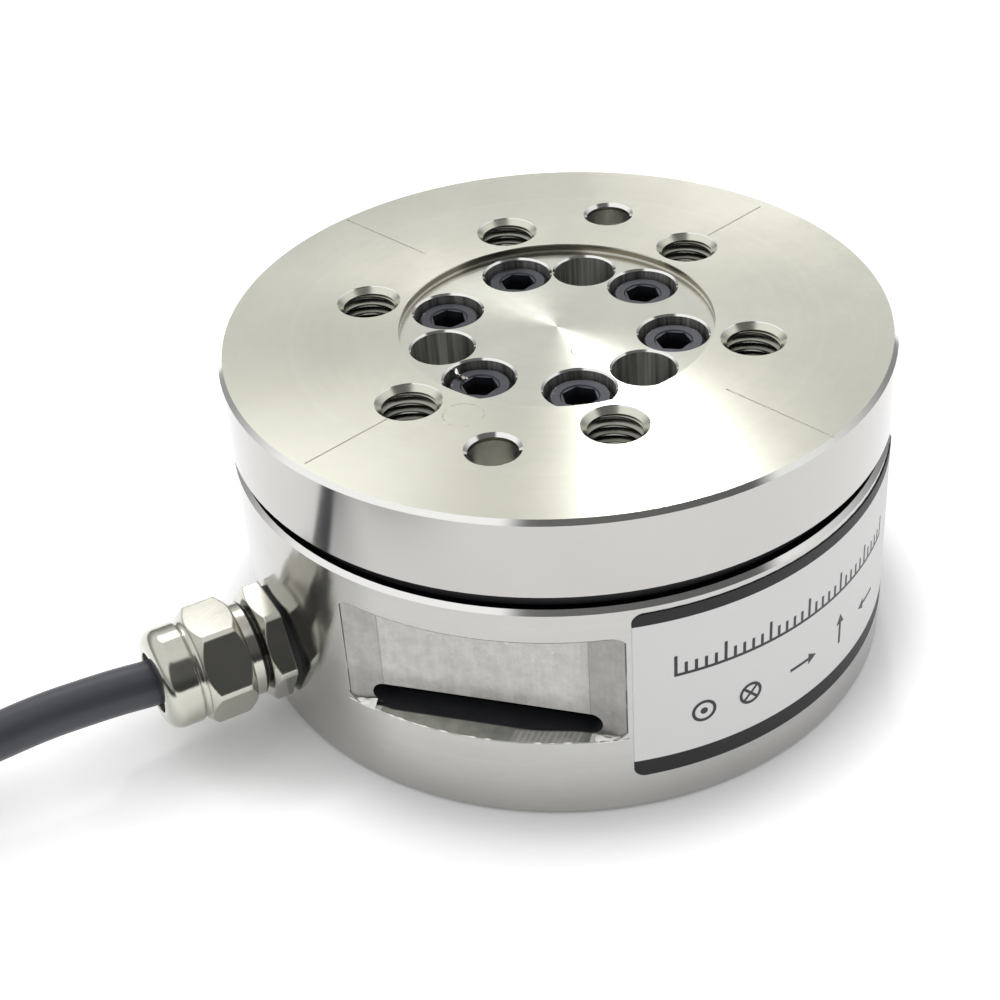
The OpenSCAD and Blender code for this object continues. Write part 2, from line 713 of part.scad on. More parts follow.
module gland_nut() color("#dad7ca") on_gland() difference() {
    union() {
        translate([0, 0, nut_s]) turned([[0, 0], [collar_d / 2 - 0.3, 0], [collar_d / 2, 0.3],
                                         [collar_d / 2, collar_len + 0.4], [0, collar_len + 0.4]]);
        translate([0, 0, nut_hex_s]) hex_bar(nut_hex_len, hex_c, hex_c, 1.5);
        translate([0, 0, nose_s]) rotate_extrude() nose_profile();
    }
    translate([0, 0, nut_s - over]) cylinder(d = nut_bore_d, h = seal_s + 6 - nut_s + over, $fn = 64);
    translate([0, 0, seal_s + 6 - 0.01]) cylinder(d1 = nut_bore_d, d2 = mouth_d, h = 2, $fn = 64);
    translate([0, 0, seal_s]) cylinder(d = mouth_d, h = mouth_s - seal_s + over, $fn = 64);
}

// Half the nose's section: a shallow neck, then a barrel with a round end
module nose_profile() {
    r = nose_d / 2;
    difference() {
        union() {
            translate([0, -0.5]) square([r, nose_len + 0.5 - nose_r]);
            translate([0, nose_len - nose_r - 0.01]) square([r - nose_r, nose_r + 0.01]);
            translate([r - nose_r, nose_len - nose_r]) circle(nose_r, $fn = 48);
        }
        translate([r + 0.45, 0.6]) circle(0.75, $fn = 32);
        translate([-nose_r - r, 0]) square([nose_r + r, nose_len + over]);
    }
}

module gland_cage() color("whitesmoke") on_gland() translate([0, 0, seal_s]) difference() {
    cylinder(d = neck_d, h = 5.6, $fn = 64);
    translate([0, 0, -over]) cylinder(d = seal_d + 0.1, h = 8, $fn = 64);
    for (i = [0 : 7]) rotate(i * 45) translate([seal_d / 2 - over, -0.4, 1.6]) cube([4, 0.8, 6]);
}

module gland_seal() color("#1b1b1d") on_gland() difference() {
    translate([0, 0, seal_s]) cylinder(d = seal_d, h = seal_end_s - seal_s, $fn = 64);
    translate([0, 0, seal_s - over]) cylinder(d = cable_d + 2 * pin_gap, h = seal_end_s - seal_s + 2 * over, $fn = 64);
}

// ---- label ----

module rating_label() color("white") intersection() {
    translate([0, 0, label_z0]) difference() {
        cylinder(r = body_r + glue_t + label_t, h = label_z1 - label_z0, $fn = 180);
        translate([0, 0, -over]) cylinder(r = body_r + glue_t, h = body_h, $fn = 180);
    }
    rotate((label_a0 + label_a1) / 2) translate([0, 0, (label_z0 + label_z1) / 2]) rotate([90, 0, 90])
        linear_extrude(2 * body_r)
            rounded_rect(2 * body_r * sin((label_a1 - label_a0) / 2), label_z1 - label_z0, label_r);
}

// ---- cable ----

// A point on the gland's axis, and one on the connector's axis
function gland_point(s) = [s * cos(gland_angle), s * sin(gland_angle), gland_z];
function connector_point(s) = connector_at + s * [cos(connector_angle), sin(connector_angle), 0];

// A point on the straight run that touches the coil's outermost turn, with t
// measured along its heading from the point of tangency
function coil_point(heading, t, z) = [
    coil_centre[0] + coil_out_r * cos(heading - 90) + t * cos(heading),
    coil_centre[1] + coil_out_r * sin(heading - 90) + t * sin(heading), z];

module lead_cable() color("#3a3b40")
    tube(smooth(concat([gland_point(splice_s), gland_point((splice_s + mouth_s) / 2)], run_points,
                       [coil_point(coil_in, -coil_meet, low_z)]), 2), cable_d);

module cable_coil() color("#3a3b40") difference() {
    translate([coil_centre[0], coil_centre[1], coil_z]) rotate_extrude($fn = 120)
        translate([coil_in_r - cable_d / 2 - coil_slack, 0])
            square([coil_out_r - coil_in_r + cable_d + 2 * coil_slack, coil_h]);
    translate(coil_point(coil_in, -coil_meet, low_z)) rotate(coil_in + 180) coil_notch(coil_pitch, -1);
    translate(coil_point(coil_away, coil_meet, high_z)) rotate(coil_away) coil_notch(coil_pitch, 1);
}

// Room for a straight run where it meets the coil, below or above the middle
module coil_notch(h, side) {
    translate([0, -cable_d, side > 0 ? -cable_d / 2 : -cable_d / 2 - over])
        cube([3 * cable_d, 2 * cable_d, h + over]);
}

module cable_end() color("#3a3b40")
    tube(smooth(concat([coil_point(coil_away, coil_meet, high_z)], tail_points,
                       [connector_at, connector_point(cable_seat)]), 2), cable_d);

module coil_ties() color("#202022") translate([coil_centre[0], coil_centre[1], 0]) for (a = tie_angles) {
    w = coil_out_r - coil_in_r + cable_d + 2 * coil_slack;
    rotate(a) translate([(coil_in_r + coil_out_r) / 2, tie_w / 2, coil_z + coil_h / 2]) rotate([90, 0, 0])
        linear_extrude(tie_w) difference() {
            rounded_rect(w + 2 * tie_t + 0.2, coil_h + 2 * tie_t, tie_t);
            square([w + 0.2, coil_h], center = true);
        }
}

// ---- connector ----

module connector_back() color("silver") on_connector() difference() {
    turned([[0, 0], [cable_d / 2 + 1.6, 0], [cable_d / 2 + 2.4, 1], [cable_d / 2 + 2.4, back_len - 7],
            [shell_d / 2 - 0.6, back_len - 5], [shell_d / 2 - 0.6, back_len], [0, back_len]], 64);
    translate([0, 0, -over]) cylinder(d = cable_d + 2 * pin_gap, h = cable_seat + over, $fn = 48);
}

module connector_shell() color("silver") on_connector() translate([0, 0, back_len]) difference() {
    turned([[0, 0], [shell_d / 2 - 0.4, 0], [shell_d / 2, 0.4], [shell_d / 2, shell_len - 0.4],
            [shell_d / 2 - 0.4, shell_len], [0, shell_len]], 64);
    translate([0, 0, shell_len - socket_deep])
        cylinder(d = shell_d - 2 * shell_wall, h = socket_deep + over, $fn = 64);
}

module connector_ring() color("lightgray") on_connector() translate([0, 0, coupling_s]) difference() {
    turned([[0, 0], [coupling_d / 2 - 0.6, 0], [coupling_d / 2, 0.6], [coupling_d / 2, coupling_len - 0.6],
            [coupling_d / 2 - 0.6, coupling_len], [0, coupling_len]], 64);
    translate([0, 0, -over]) cylinder(d = shell_d + 0.1, h = coupling_len + 2 * over, $fn = 64);
    for (i = [0 : 23]) rotate(i * 15 + 7.5) translate([coupling_d / 2 + 0.25, 0, 1.6])
        cylinder(d = 1, h = coupling_len - 3.2, $fn = 16);
}

module connector_insert() color("#222224") on_connector() translate([0, 0, back_len + shell_len - socket_deep])
    difference() {
        cylinder(d = shell_d - 2 * shell_wall, h = insert_t, $fn = 64);
        translate([0, 0, contact_foot]) contact_places() cylinder(d = contact_d, h = insert_t, $fn = 16);
    }

module contact_places() {
    children();
    ring_of(pin_n, 4) children();
}

module connector_pins() color("gold") on_connector()
    translate([0, 0, back_len + shell_len - socket_deep + contact_foot])
    contact_places() cylinder(d = contact_d, h = contact_len, $fn = 16);

tool_flange();
flange_screws();
drive_pins();
dust_seal();
spring_body();
strain_gauges();
solder_tabs();
amplifier_board();
board_chips();
header_block();
board_pillars();
board_screws();
lead_tail();
base_cover();
cover_screws();
cover_ring();
gland_washer();
gland_body();
gland_nut();
gland_cage();
gland_seal();
rating_label();
lead_cable();
cable_coil();
cable_end();
coil_ties();
connector_back();
connector_shell();
connector_ring();
connector_insert();
connector_pins();
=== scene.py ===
"""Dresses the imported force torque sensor: turned and ground steel, threads in the
tapped holes, a nickel-plated gland, the label, the rubber lead with its coil and
connector, and the traces of machining. Lengths are in metres, and the frame is
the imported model's own."""

import math

import bmesh
import bpy
from bpy.props import FloatProperty, FloatVectorProperty, IntProperty, PointerProperty
from mathutils import Matrix, Vector, noise


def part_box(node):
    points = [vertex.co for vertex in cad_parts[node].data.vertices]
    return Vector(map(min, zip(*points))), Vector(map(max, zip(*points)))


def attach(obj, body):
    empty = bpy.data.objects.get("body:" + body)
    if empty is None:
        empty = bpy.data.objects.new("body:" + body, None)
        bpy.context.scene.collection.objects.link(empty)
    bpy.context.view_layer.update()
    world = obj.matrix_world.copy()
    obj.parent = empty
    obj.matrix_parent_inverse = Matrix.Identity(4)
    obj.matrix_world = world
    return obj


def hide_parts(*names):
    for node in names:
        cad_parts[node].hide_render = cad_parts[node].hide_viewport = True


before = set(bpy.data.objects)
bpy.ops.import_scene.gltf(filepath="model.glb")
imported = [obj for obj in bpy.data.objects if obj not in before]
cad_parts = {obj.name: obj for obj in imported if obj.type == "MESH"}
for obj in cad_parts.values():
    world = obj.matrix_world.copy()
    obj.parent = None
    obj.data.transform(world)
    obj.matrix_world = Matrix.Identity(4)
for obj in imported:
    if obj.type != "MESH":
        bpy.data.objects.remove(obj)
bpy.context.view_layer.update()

bl_info = {
    "name": "Force torque sensor",
    "version": (1, 0, 0),
    "blender": (4, 5, 0),
    "location": "View3D > Sidebar > Sensor",
    "description": "Dresses the packed force torque sensor",
    "category": "Object",
}

MM = 0.001
BODY = "root"
FLANGE_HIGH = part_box("tool_flange")[1]
LABEL_LOW, LABEL_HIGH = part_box("rating_label")
SCREW_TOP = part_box("flange_screws")[1].z
FLANGE_TOP = FLANGE_HIGH.z
FLANGE_R = FLANGE_HIGH.x
BODY_R = FLANGE_R - 0.25 * MM
LABEL_R = BODY_R + 0.17 * MM

# Holes of the flange
RECESS_R = 25.15 * MM
RECESS_FLOOR = FLANGE_TOP - 1.35 * MM
TAP_PLACE_R = 31.5 * MM
TAP_R = 5 * MM

# Side pockets
POCKET_ANGLE = math.radians(210)
POCKET_N = 3
POCKET_FOOT = 14.5 * MM
POCKET_TOP = 33.9 * MM
POCKET_FLOOR_R = BODY_R - 4.75 * MM
SLOT_TOP = POCKET_FOOT + 3.6 * MM
SEAM_FOOT = 39.4 * MM
POCKET_OUT = Vector((math.cos(POCKET_ANGLE), math.sin(POCKET_ANGLE), 0))

# Cable gland
GLAND_ANGLE = math.radians(164)
GLAND_Z = 14 * MM
NECK_S = BODY_R + 3.95 * MM
NECK_LEN = 1.1 * MM
SPLICE_S = 59.6 * MM
MOUTH_S = 74 * MM

# Label
LABEL_START = math.radians(234.8)

# Lead: the same route as in the part's source
CABLE_D = 7.3 * MM
RUN_POINTS = [(-71.2, 20.6, 14), (-76, 22.6, 14.1), (-81, 24.5, 14.1), (-87, 26.7, 13.9),
              (-93.3, 28.9, 13.2), (-100, 31.4, 12.1), (-107, 33.9, 10.6), (-115, 36.8, 8.8),
              (-123, 39.8, 7.1), (-131, 42.7, 5.8), (-140, 46, 4.9), (-150, 49.7, 4.7),
              (-159, 53, 4.65)]
TAIL_POINTS = [(-211, 62.5, 12), (-219, 62.5, 11.95), (-226, 62.5, 11.6), (-234, 62.5, 10.1)]
COIL_CENTRE = Vector((-196.033, 0.997, 0)) * MM
COIL_IN_R = 29 * MM
COIL_PITCH = 7.35 * MM
COIL_TURNS = 4.42
# Whole turns in both layers, with the climb from one to the other
COIL_ROUNDS = 9
COIL_IN = math.radians(160)
COIL_AWAY = math.radians(180)
COIL_MEET = 8 * MM
LOW_Z = 4.65 * MM
CONNECTOR_X = -242.033 * MM
CONNECTOR_Z = 9.5 * MM
CABLE_SEAT = 10 * MM
TIE_ANGLES = (math.radians(10), math.radians(190))


# ---- settings ----

class SensorFlange(bpy.types.PropertyGroup):
    """Sizes and colours of the tool flange."""

    thread_pitch: FloatProperty(
        name="Thread pitch", description="Distance between the turns of the tapped holes' threads",
        default=1.5 * MM, min=0.5 * MM, max=2 * MM, unit="LENGTH")
    thread_depth: FloatProperty(
        name="Thread depth", description="How far a thread stands in from the wall of its hole",
        default=0.78 * MM, min=0.3 * MM, max=1 * MM, unit="LENGTH")
    mouth_chamfer: FloatProperty(
        name="Mouth chamfer", description="Width of the chamfer at the mouth of a tapped hole",
        default=0.95 * MM, min=0.3 * MM, max=1.2 * MM, unit="LENGTH")
    face_steel: FloatVectorProperty(
        name="Face colour", description="Colour of the turned top face",
        default=(0.565, 0.56, 0.485), size=3, min=0, max=1, subtype="COLOR")
    hub_steel: FloatVectorProperty(
        name="Recess colour", description="Colour of the turned floor of the recess",
        default=(0.61, 0.61, 0.54), size=3, min=0, max=1, subtype="COLOR")
    wall_steel: FloatVectorProperty(
        name="Wall colour", description="Colour of the flange's outer wall",
        default=(0.50, 0.487, 0.468), size=3, min=0, max=1, subtype="COLOR")
    # Darker than the face as painted shade in the holes, with drawn streaks along them
    bore_steel: FloatVectorProperty(
        name="Bore colour", description="Colour of the walls of the plain holes",
        default=(0.50, 0.50, 0.475), size=3, min=0, max=1, subtype="COLOR")
    face_polish: FloatProperty(
        name="Face roughness", description="Roughness of the turned face round the recess",
        default=0.25, min=0.02, max=0.6, subtype="FACTOR")
    hub_polish: FloatProperty(
        name="Recess roughness", description="Roughness of the finer turned floor of the recess",
        default=0.19, min=0.02, max=0.6, subtype="FACTOR")
    ring_depth: FloatProperty(
        name="Turning marks", description="Height of the rings that turning leaves on the faces",
        default=0.004 * MM, min=0, max=0.05 * MM, unit="LENGTH")
    stain: FloatProperty(
        name="Stain", description="How dark the ring stain on the face is",
        default=0.22, min=0, max=1, subtype="FACTOR")


class SensorScrews(bpy.types.PropertyGroup):
    """Colours of the flange screws, and the length of the swarf beside one."""

    oxide: FloatVectorProperty(
        name="Black oxide", description="Colour of the screw heads",
        default=(0.034, 0.036, 0.046), size=3, min=0, max=1, subtype="COLOR")
    worn_oxide: FloatVectorProperty(
        name="Worn oxide", description="Colour of the worn ring round the hexagon socket",
        default=(0.038, 0.040, 0.050), size=3, min=0, max=1, subtype="COLOR")
    swarf_length: FloatProperty(
        name="Swarf length", description="Length of the curl of swarf beside one head",
        default=3.8 * MM, min=1 * MM, max=5 * MM, unit="LENGTH")


class SensorBody(bpy.types.PropertyGroup):
    """Sizes and colours of the spring body."""

    ground_steel: FloatVectorProperty(
        name="Ground steel", description="Colour of the body's round wall",
        default=(0.51, 0.505, 0.485), size=3, min=0, max=1, subtype="COLOR")
    milled_steel: FloatVectorProperty(
        name="Milled steel", description="Colour of the raw milled pockets",
        default=(0.62, 0.605, 0.58), size=3, min=0, max=1, subtype="COLOR")
    ledge_steel: FloatVectorProperty(
        name="Ledge steel", description="Colour of the dull ledge at a pocket's foot",
        default=(0.42, 0.425, 0.375), size=3, min=0, max=1, subtype="COLOR")
    seal_rubber: FloatVectorProperty(
        name="Seal rubber", description="Colour of the dust seal",
        default=(0.006, 0.006, 0.009), size=3, min=0, max=1, subtype="COLOR")
    burr_height: FloatProperty(
        name="Burr height", description="Height of the largest burrs along a pocket's edges",
        default=0.28 * MM, min=0, max=0.6 * MM, unit="LENGTH")
    burr_seed: IntProperty(
        name="Burr pattern", description="Another number gives other burrs", default=4, min=0)


class SensorGland(bpy.types.PropertyGroup):
    """Colours of the cable gland."""

    nickel: FloatVectorProperty(
        name="Nickel", description="Colour of the gland's plating",
        default=(0.57, 0.56, 0.495), size=3, min=0, max=1, subtype="COLOR")
    polish: FloatProperty(
        name="Roughness", description="Roughness of the plating",
        default=0.13, min=0.02, max=0.6, subtype="FACTOR")


class SensorLabel(bpy.types.PropertyGroup):
    """Sizes and colours of the label."""

    film: FloatVectorProperty(
        name="Film", description="Colour of the label's film",
        default=(0.80, 0.80, 0.79), size=3, min=0, max=1, subtype="COLOR")
    ink: FloatVectorProperty(
        name="Ink", description="Colour of the bands and the marks",
        default=(0.016, 0.016, 0.018), size=3, min=0, max=1, subtype="COLOR")
    top_band: FloatProperty(
        name="Top band", description="Height of the dark band along the upper edge",
        default=2.1 * MM, min=0, max=6 * MM, unit="LENGTH")
    foot_band: FloatProperty(
        name="Foot band", description="Height of the dark band along the lower edge",
        default=3.1 * MM, min=0, max=6 * MM, unit="LENGTH")
    tick_step: FloatProperty(
        name="Tick spacing", description="Distance between two ticks of the scale",
        default=1.6 * MM, min=1 * MM, max=4 * MM, unit="LENGTH")


class SensorLead(bpy.types.PropertyGroup):
    """Size and colours of the lead and of what is on it."""

    diameter: FloatProperty(
        name="Diameter", description="Diameter of the lead",
        default=CABLE_D, min=5 * MM, max=8 * MM, unit="LENGTH")
    jacket: FloatVectorProperty(
        name="Jacket", description="Colour of the lead's jacket",
        default=(0.048, 0.053, 0.068), size=3, min=0, max=1, subtype="COLOR")
    plating: FloatVectorProperty(
        name="Plating", description="Colour of the connector's plating",
        default=(0.70, 0.68, 0.62), size=3, min=0, max=1, subtype="COLOR")


class SensorStage(bpy.types.PropertyGroup):
    """The light and the floor."""

    floor: FloatVectorProperty(
        name="Floor", description="Colour of the floor",
        default=(0.95, 0.95, 0.955), size=3, min=0, max=1, subtype="COLOR")
    floor_lift: FloatProperty(
        name="Floor lift", description="White added to the floor as the camera and metal see it",
        default=0.46, min=0, max=1, subtype="FACTOR")
    sky: FloatProperty(
        name="Soft light", description="Strength of the light from all round",
        default=0.80, min=0, max=1)
    small_power: FloatProperty(
        name="Small lamp", description="Power of the small lamp behind the sensor",
        default=0.70, min=0, unit="POWER")
    broad_power: FloatProperty(
        name="Broad lamp", description="Power of the broad lamp behind the sensor",
        default=0.60, min=0, unit="POWER")
    horizon: FloatProperty(
        name="Horizon", description="Brightness of the room near the horizon, as metal shows it",
        default=0.35, min=0, max=1, subtype="FACTOR")
    shade: FloatProperty(
        name="Dark side", description="Brightness of the room behind the camera, as metal shows it",
        default=0.13, min=0, max=1, subtype="FACTOR")


# ---- pieces ----

def finish_piece(name, bm, material, smooth=None):
    """Makes a bmesh a piece of the sensor, smooth below an angle between faces."""
    mesh = bpy.data.meshes.new(name)
    bmesh.ops.recalc_face_normals(bm, faces=bm.faces)
    bm.to_mesh(mesh)
    bm.free()
    if smooth is not None:
        mesh.shade_smooth()
        mesh.set_sharp_from_angle(angle=math.radians(smooth))
    mesh.materials.append(material)
    piece = bpy.data.objects.new(name, mesh)
    bpy.context.scene.collection.objects.link(piece)
    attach(piece, BODY)


def paint_nodes(material, *nodes):
    """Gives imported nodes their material."""
    for node in nodes:
        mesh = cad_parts[node].data
        mesh.materials.clear()
        mesh.materials.append(material)


def spin_ring(bm, profile, centre, steps):
    """Turns a closed profile of (radius, height) points into a ring."""
    verts = [bm.verts.new(centre + Vector((r, 0, h))) for r, h in profile]
    edges = [bm.edges.new((a, b)) for a, b in zip(verts, verts[1:] + verts[:1])]
    bmesh.ops.spin(bm, geom=verts + edges, cent=centre, axis=(0, 0, 1), dvec=(0, 0, 0),
                   angle=math.tau, steps=steps, use_merge=True)


def spin_helix(bm, profile, centre, turns, climb, steps):
    """Turns a closed profile along a helix that climbs so much a turn."""
    verts = [bm.verts.new(centre + Vector((r, 0, h))) for r, h in profile]
    face = bm.faces.new(verts)
    bmesh.ops.spin(bm, geom=[face], cent=centre, axis=(0, 0, 1), dvec=(0, 0, climb / steps),
                   angle=math.tau * turns, steps=round(turns * steps))


# ---- shader graphs ----

class Graph:
    """Short calls for building a node tree."""

    def __init__(self, tree):
        self.tree = tree

    def add(self, kind, **values):
        """A new node with its own settings."""
        node = self.tree.nodes.new(kind)
        for key, value in values.items():
            setattr(node, key, value)
        return node

    def feed(self, socket, value):
        """Links a socket or sets its value."""
        if isinstance(value, bpy.types.NodeSocket):
            self.tree.links.new(value, socket)
        else:
            socket.default_value = value

    def math(self, operation, a, b=0.0, c=0.0, clamp=False):
        """A calculation on numbers."""
        node = self.add("ShaderNodeMath", operation=operation, use_clamp=clamp)
        for socket, value in zip(node.inputs, (a, b, c)):
            self.feed(socket, value)
        return node.outputs[0]

    def vector(self, operation, a, b=(0, 0, 0)):
        """A calculation on vectors."""
        node = self.add("ShaderNodeVectorMath", operation=operation)
        self.feed(node.inputs[0], a)
        self.feed(node.inputs[1], b)
        return node.outputs["Value" if operation in ("LENGTH", "DOT_PRODUCT", "DISTANCE") else "Vector"]

    def position(self):
        """Object coordinates, which are the sensor's own."""
        return self.add("ShaderNodeTexCoord").outputs["Object"]

    def parts(self, vector):
        """The three numbers of a vector."""
        node = self.add("ShaderNodeSeparateXYZ")
        self.feed(node.inputs[0], vector)
        return node.outputs

    def join(self, x, y, z):
        """A vector from its three numbers."""
        node = self.add("ShaderNodeCombineXYZ")
        for socket, value in zip(node.inputs, (x, y, z)):
            self.feed(socket, value)
        return node.outputs[0]

    def level(self, vector):
        """A vector without its height: from the sensor's axis straight out."""
        x, y, _ = self.parts(vector)
        return self.join(x, y, 0.0)

    def noise(self, vector, scale, detail=3.0, rough=0.5):
        """Soft noise, mostly between 0.3 and 0.7."""
        node = self.add("ShaderNodeTexNoise")
        self.feed(node.inputs["Vector"], vector)
        self.feed(node.inputs["Scale"], scale)
        node.inputs["Detail"].default_value = detail
        node.inputs["Roughness"].default_value = rough
        return node.outputs["Fac"]

    def streaks(self, vector, scales, detail=3.0, rough=0.5):
        """Noise with a scale of its own along each axis."""
        scaled = [self.math("MULTIPLY", part, k) for part, k in zip(self.parts(vector), scales)]
        return self.noise(self.join(*scaled), 1.0, detail, rough)

    def weigh(self, first, share, second):
        """Two noises as one about 0, with the first one's share of it."""
        total = self.math("ADD", self.math("MULTIPLY", first, share),
                          self.math("MULTIPLY", second, 1 - share))
        return self.math("SUBTRACT", total, 0.5)

    def swing(self, centred, amount):
        """A noise about 0, stretched to reach about the amount on either side."""
        return self.math("MULTIPLY", centred, self.math("MULTIPLY", amount, 4))

    def ramp(self, value, low, high, out_low=0.0, out_high=1.0, smooth=True):
        """Maps low..high to out_low..out_high, and stops at both ends."""
        node = self.add("ShaderNodeMapRange",
                        interpolation_type="SMOOTHSTEP" if smooth else "LINEAR")
        for name, number in (("Value", value), ("From Min", low), ("From Max", high),
                             ("To Min", out_low), ("To Max", out_high)):
            self.feed(node.inputs[name], number)
        return node.outputs[0]

    def pick(self, kind, mask, a, b):
        """a where the mask is 0, b where it is 1."""
        node = self.add("ShaderNodeMix", data_type=kind)
        socket_type = "VALUE" if kind == "FLOAT" else kind
        ends = [s for s in node.inputs if s.type == socket_type and s.name in ("A", "B")]
        for socket, value in zip((node.inputs["Factor"], *ends), (mask, a, b)):
            self.feed(socket, value)
        return [s for s in node.outputs if s.type == socket_type][0]

    def mix(self, mask, a, b):
        """Colour a where the mask is 0, colour b where it is 1."""
        ends = [c if isinstance(c, bpy.types.NodeSocket) else (*c, 1) for c in (a, b)]
        return self.pick("RGBA", mask, *ends)

    def blend(self, mask, a, b):
        """Number a where the mask is 0, number b where it is 1."""
        return self.pick("FLOAT", mask, a, b)

    def bump(self, height, distance, strength=1.0, normal=None):
        """A normal tilted by a height."""
        node = self.add("ShaderNodeBump")
        node.inputs["Distance"].default_value = distance
        node.inputs["Strength"].default_value = strength
        self.feed(node.inputs["Height"], height)
        if normal is not None:
            self.feed(node.inputs["Normal"], normal)
        return node.outputs[0]

    def both(self, *masks):
        """The product of some masks."""
        product = masks[0]
        for mask in masks[1:]:
            product = self.math("MULTIPLY", product, mask)
        return product

    def inside(self, value, low, high, soft):
        """1 between low and high, fading over soft on either side."""
        return self.both(self.ramp(value, low - soft, low + soft),
                         self.ramp(value, high - soft, high + soft, 1, 0))

    def facing(self):
        """The surface's normal, and how far it looks up (1), sideways (0) or down (-1)."""
        normal = self.add("ShaderNodeNewGeometry").outputs["Normal"]
        return normal, self.parts(normal)[2]

    def sideways(self, up):
        """1 on an upright face, from how far it looks up."""
        return self.ramp(self.math("ABSOLUTE", up), 0.12, 0.3, 1, 0)

    def tinted(self, colour, tone):
        """A colour made lighter or darker by a number."""
        node = self.add("ShaderNodeVectorMath", operation="SCALE")
        self.feed(node.inputs[0], colour)
        self.feed(node.inputs["Scale"], tone)
        return node.outputs[0]

    def group(self, maker, **values):
        """Places a shared group with its own values; it is built when first asked for."""
        name = maker.__name__.removesuffix("_group")
        tree = bpy.data.node_groups.get(name) or maker()
        node = self.add("ShaderNodeGroup", node_tree=tree)
        for label, value in values.items():
            self.feed(node.inputs[label.replace("_", " ")], value)
        return node.outputs

    def handled(self, where, scale, tone, rough):
        """Handling marks of one scale: a tone, and a roughness to add."""
        return self.group(handling_group, Position=where, Scale=scale, Tone=tone, Rough=rough)


def new_group(name, inputs, outputs):
    """An empty node group: its graph, its inputs and a function that sets its outputs."""
    tree = bpy.data.node_groups.new(name, "ShaderNodeTree")
    for label, default in inputs:
        kind = "NodeSocketVector" if isinstance(default, tuple) else "NodeSocketFloat"
        socket = tree.interface.new_socket(label, in_out="INPUT", socket_type=kind)
        socket.default_value = default
    for label in outputs:
        tree.interface.new_socket(label, in_out="OUTPUT", socket_type="NodeSocketFloat")
    graph = Graph(tree)
    entry = graph.add("NodeGroupInput").outputs
    leave = graph.add("NodeGroupOutput").inputs

    def give(label, value):
        graph.feed(leave[label], value)

    return graph, entry, give


def new_material(name, base, roughness, metallic=0.0, **sockets):
    """A Principled material: itself, its graph and its shader."""
    material = bpy.data.materials.new(name)
    material.use_nodes = True
    graph = Graph(material.node_tree)
    shader = material.node_tree.nodes["Principled BSDF"]
    shader.inputs["Base Color"].default_value = (*base, 1)
    shader.inputs["Roughness"].default_value = roughness
    shader.inputs["Metallic"].default_value = metallic
    for label, value in sockets.items():
        shader.inputs[label.replace("_", " ")].default_value = value
    return material, graph, shader


# ---- shared effects ----

ORIGIN = (0.0, 0.0, 0.0)


def handling_group():
    """Uneven polish: smudges and a fine grain, as a tone and a roughness to add."""
    g, entry, give = new_group(
        "handling", [("Position", ORIGIN), ("Scale", 60.0), ("Tone", 0.08), ("Rough", 0.06)],
        ["Tone", "Rough"])
    cloud = g.noise(entry["Position"], entry["Scale"], 5, 0.6)
    grain = g.noise(entry["Position"], g.math("MULTIPLY", entry["Scale"], 18), 2)
    uneven = g.weigh(cloud, 0.75, grain)
    give("Tone", g.math("ADD", 1, g.swing(uneven, entry["Tone"])))
    give("Rough", g.swing(uneven, entry["Rough"]))
    return g.tree


def turning_group():
    """Rings left by turning about the vertical axis, as a height and a tone."""
    g, entry, give = new_group(
        "turning", [("Position", ORIGIN), ("Rings per metre", 2600.0), ("Tone", 0.05)],
        ["Height", "Tone"])
    radius = g.vector("LENGTH", g.level(entry["Position"]))
    z = g.parts(entry["Position"])[2]
    fine = g.noise(g.join(g.math("MULTIPLY", radius, entry["Rings per metre"]), z, 0.0), 1.0, 2)
    broad = g.noise(g.join(g.math("MULTIPLY", radius, 420.0), 3.0, 0.0), 1.0, 2)
    give("Height", fine)
    give("Tone", g.math("ADD", 1, g.swing(g.weigh(fine, 0.4, broad), entry["Tone"])))
    return g.tree


def grinding_group():
    """Level streaks that grinding leaves round a wall, as a height and a tone."""
    g, entry, give = new_group("grinding", [("Position", ORIGIN), ("Tone", 0.05)], ["Height", "Tone"])
    fine = g.streaks(entry["Position"], (70, 70, 2600), 3, 0.6)
    broad = g.streaks(entry["Position"], (26, 26, 420), 3, 0.6)
    give("Height", fine)
    give("Tone", g.math("ADD", 1, g.swing(g.weigh(fine, 0.4, broad), entry["Tone"])))
    return g.tree


def plain_material(name, colour, rough, metallic=0.0, scale=300.0, tone=0.1, rub=0.06):
    """A small part's finish: handling marks in its tone and, if there is rub, its polish."""
    material, g, shader = new_material(name, colour, rough, metallic)
    handled = g.handled(g.position(), scale, tone, rub)
    g.feed(shader.inputs["Base Color"], g.tinted(colour, handled["Tone"]))
    if rub:
        g.feed(shader.inputs["Roughness"], g.math("ADD", rough, handled["Rough"]))
    return material


def turned_metal(name, base, roughness, metallic, drawn):
    """A metal whose grain runs round the sensor's axis: as new_material, with the drawn part."""
    material, g, shader = new_material(name, base, roughness, metallic, Anisotropic=drawn,
                                       Anisotropic_Rotation=0.25)
    grain = g.add("ShaderNodeTangent", direction_type="RADIAL", axis="Z")
    g.feed(shader.inputs["Tangent"], grain.outputs[0])
    return material, g, shader


def round_normal(g, where, wall, normal):
    """The normal of a true cylinder on the wall, and the surface's own elsewhere."""
    outwards = g.vector("NORMALIZE", g.level(where))
    return g.vector("NORMALIZE", g.pick("VECTOR", wall, normal, outwards))


# ---- flange ----

# Painted shade on the wall of the recess
RECESS_WALL_SHADE = (0.30, 0.27, 0.21)
# Painted highlight on the flange's chamfers and along the recess's edges
EDGE_HIGHLIGHT = (0.86, 0.855, 0.83)
STAIN_AT = Vector((-28.6, -8.8, 0)) * MM
STAIN_R = 3.1 * MM
MARK_AT = Vector((-2.9, -7.9, 0)) * MM
MARK_R = 1.35 * MM
TAP_N = 6
# Turns of thread in each hole, from its mouth down
THREAD_TURNS = 5


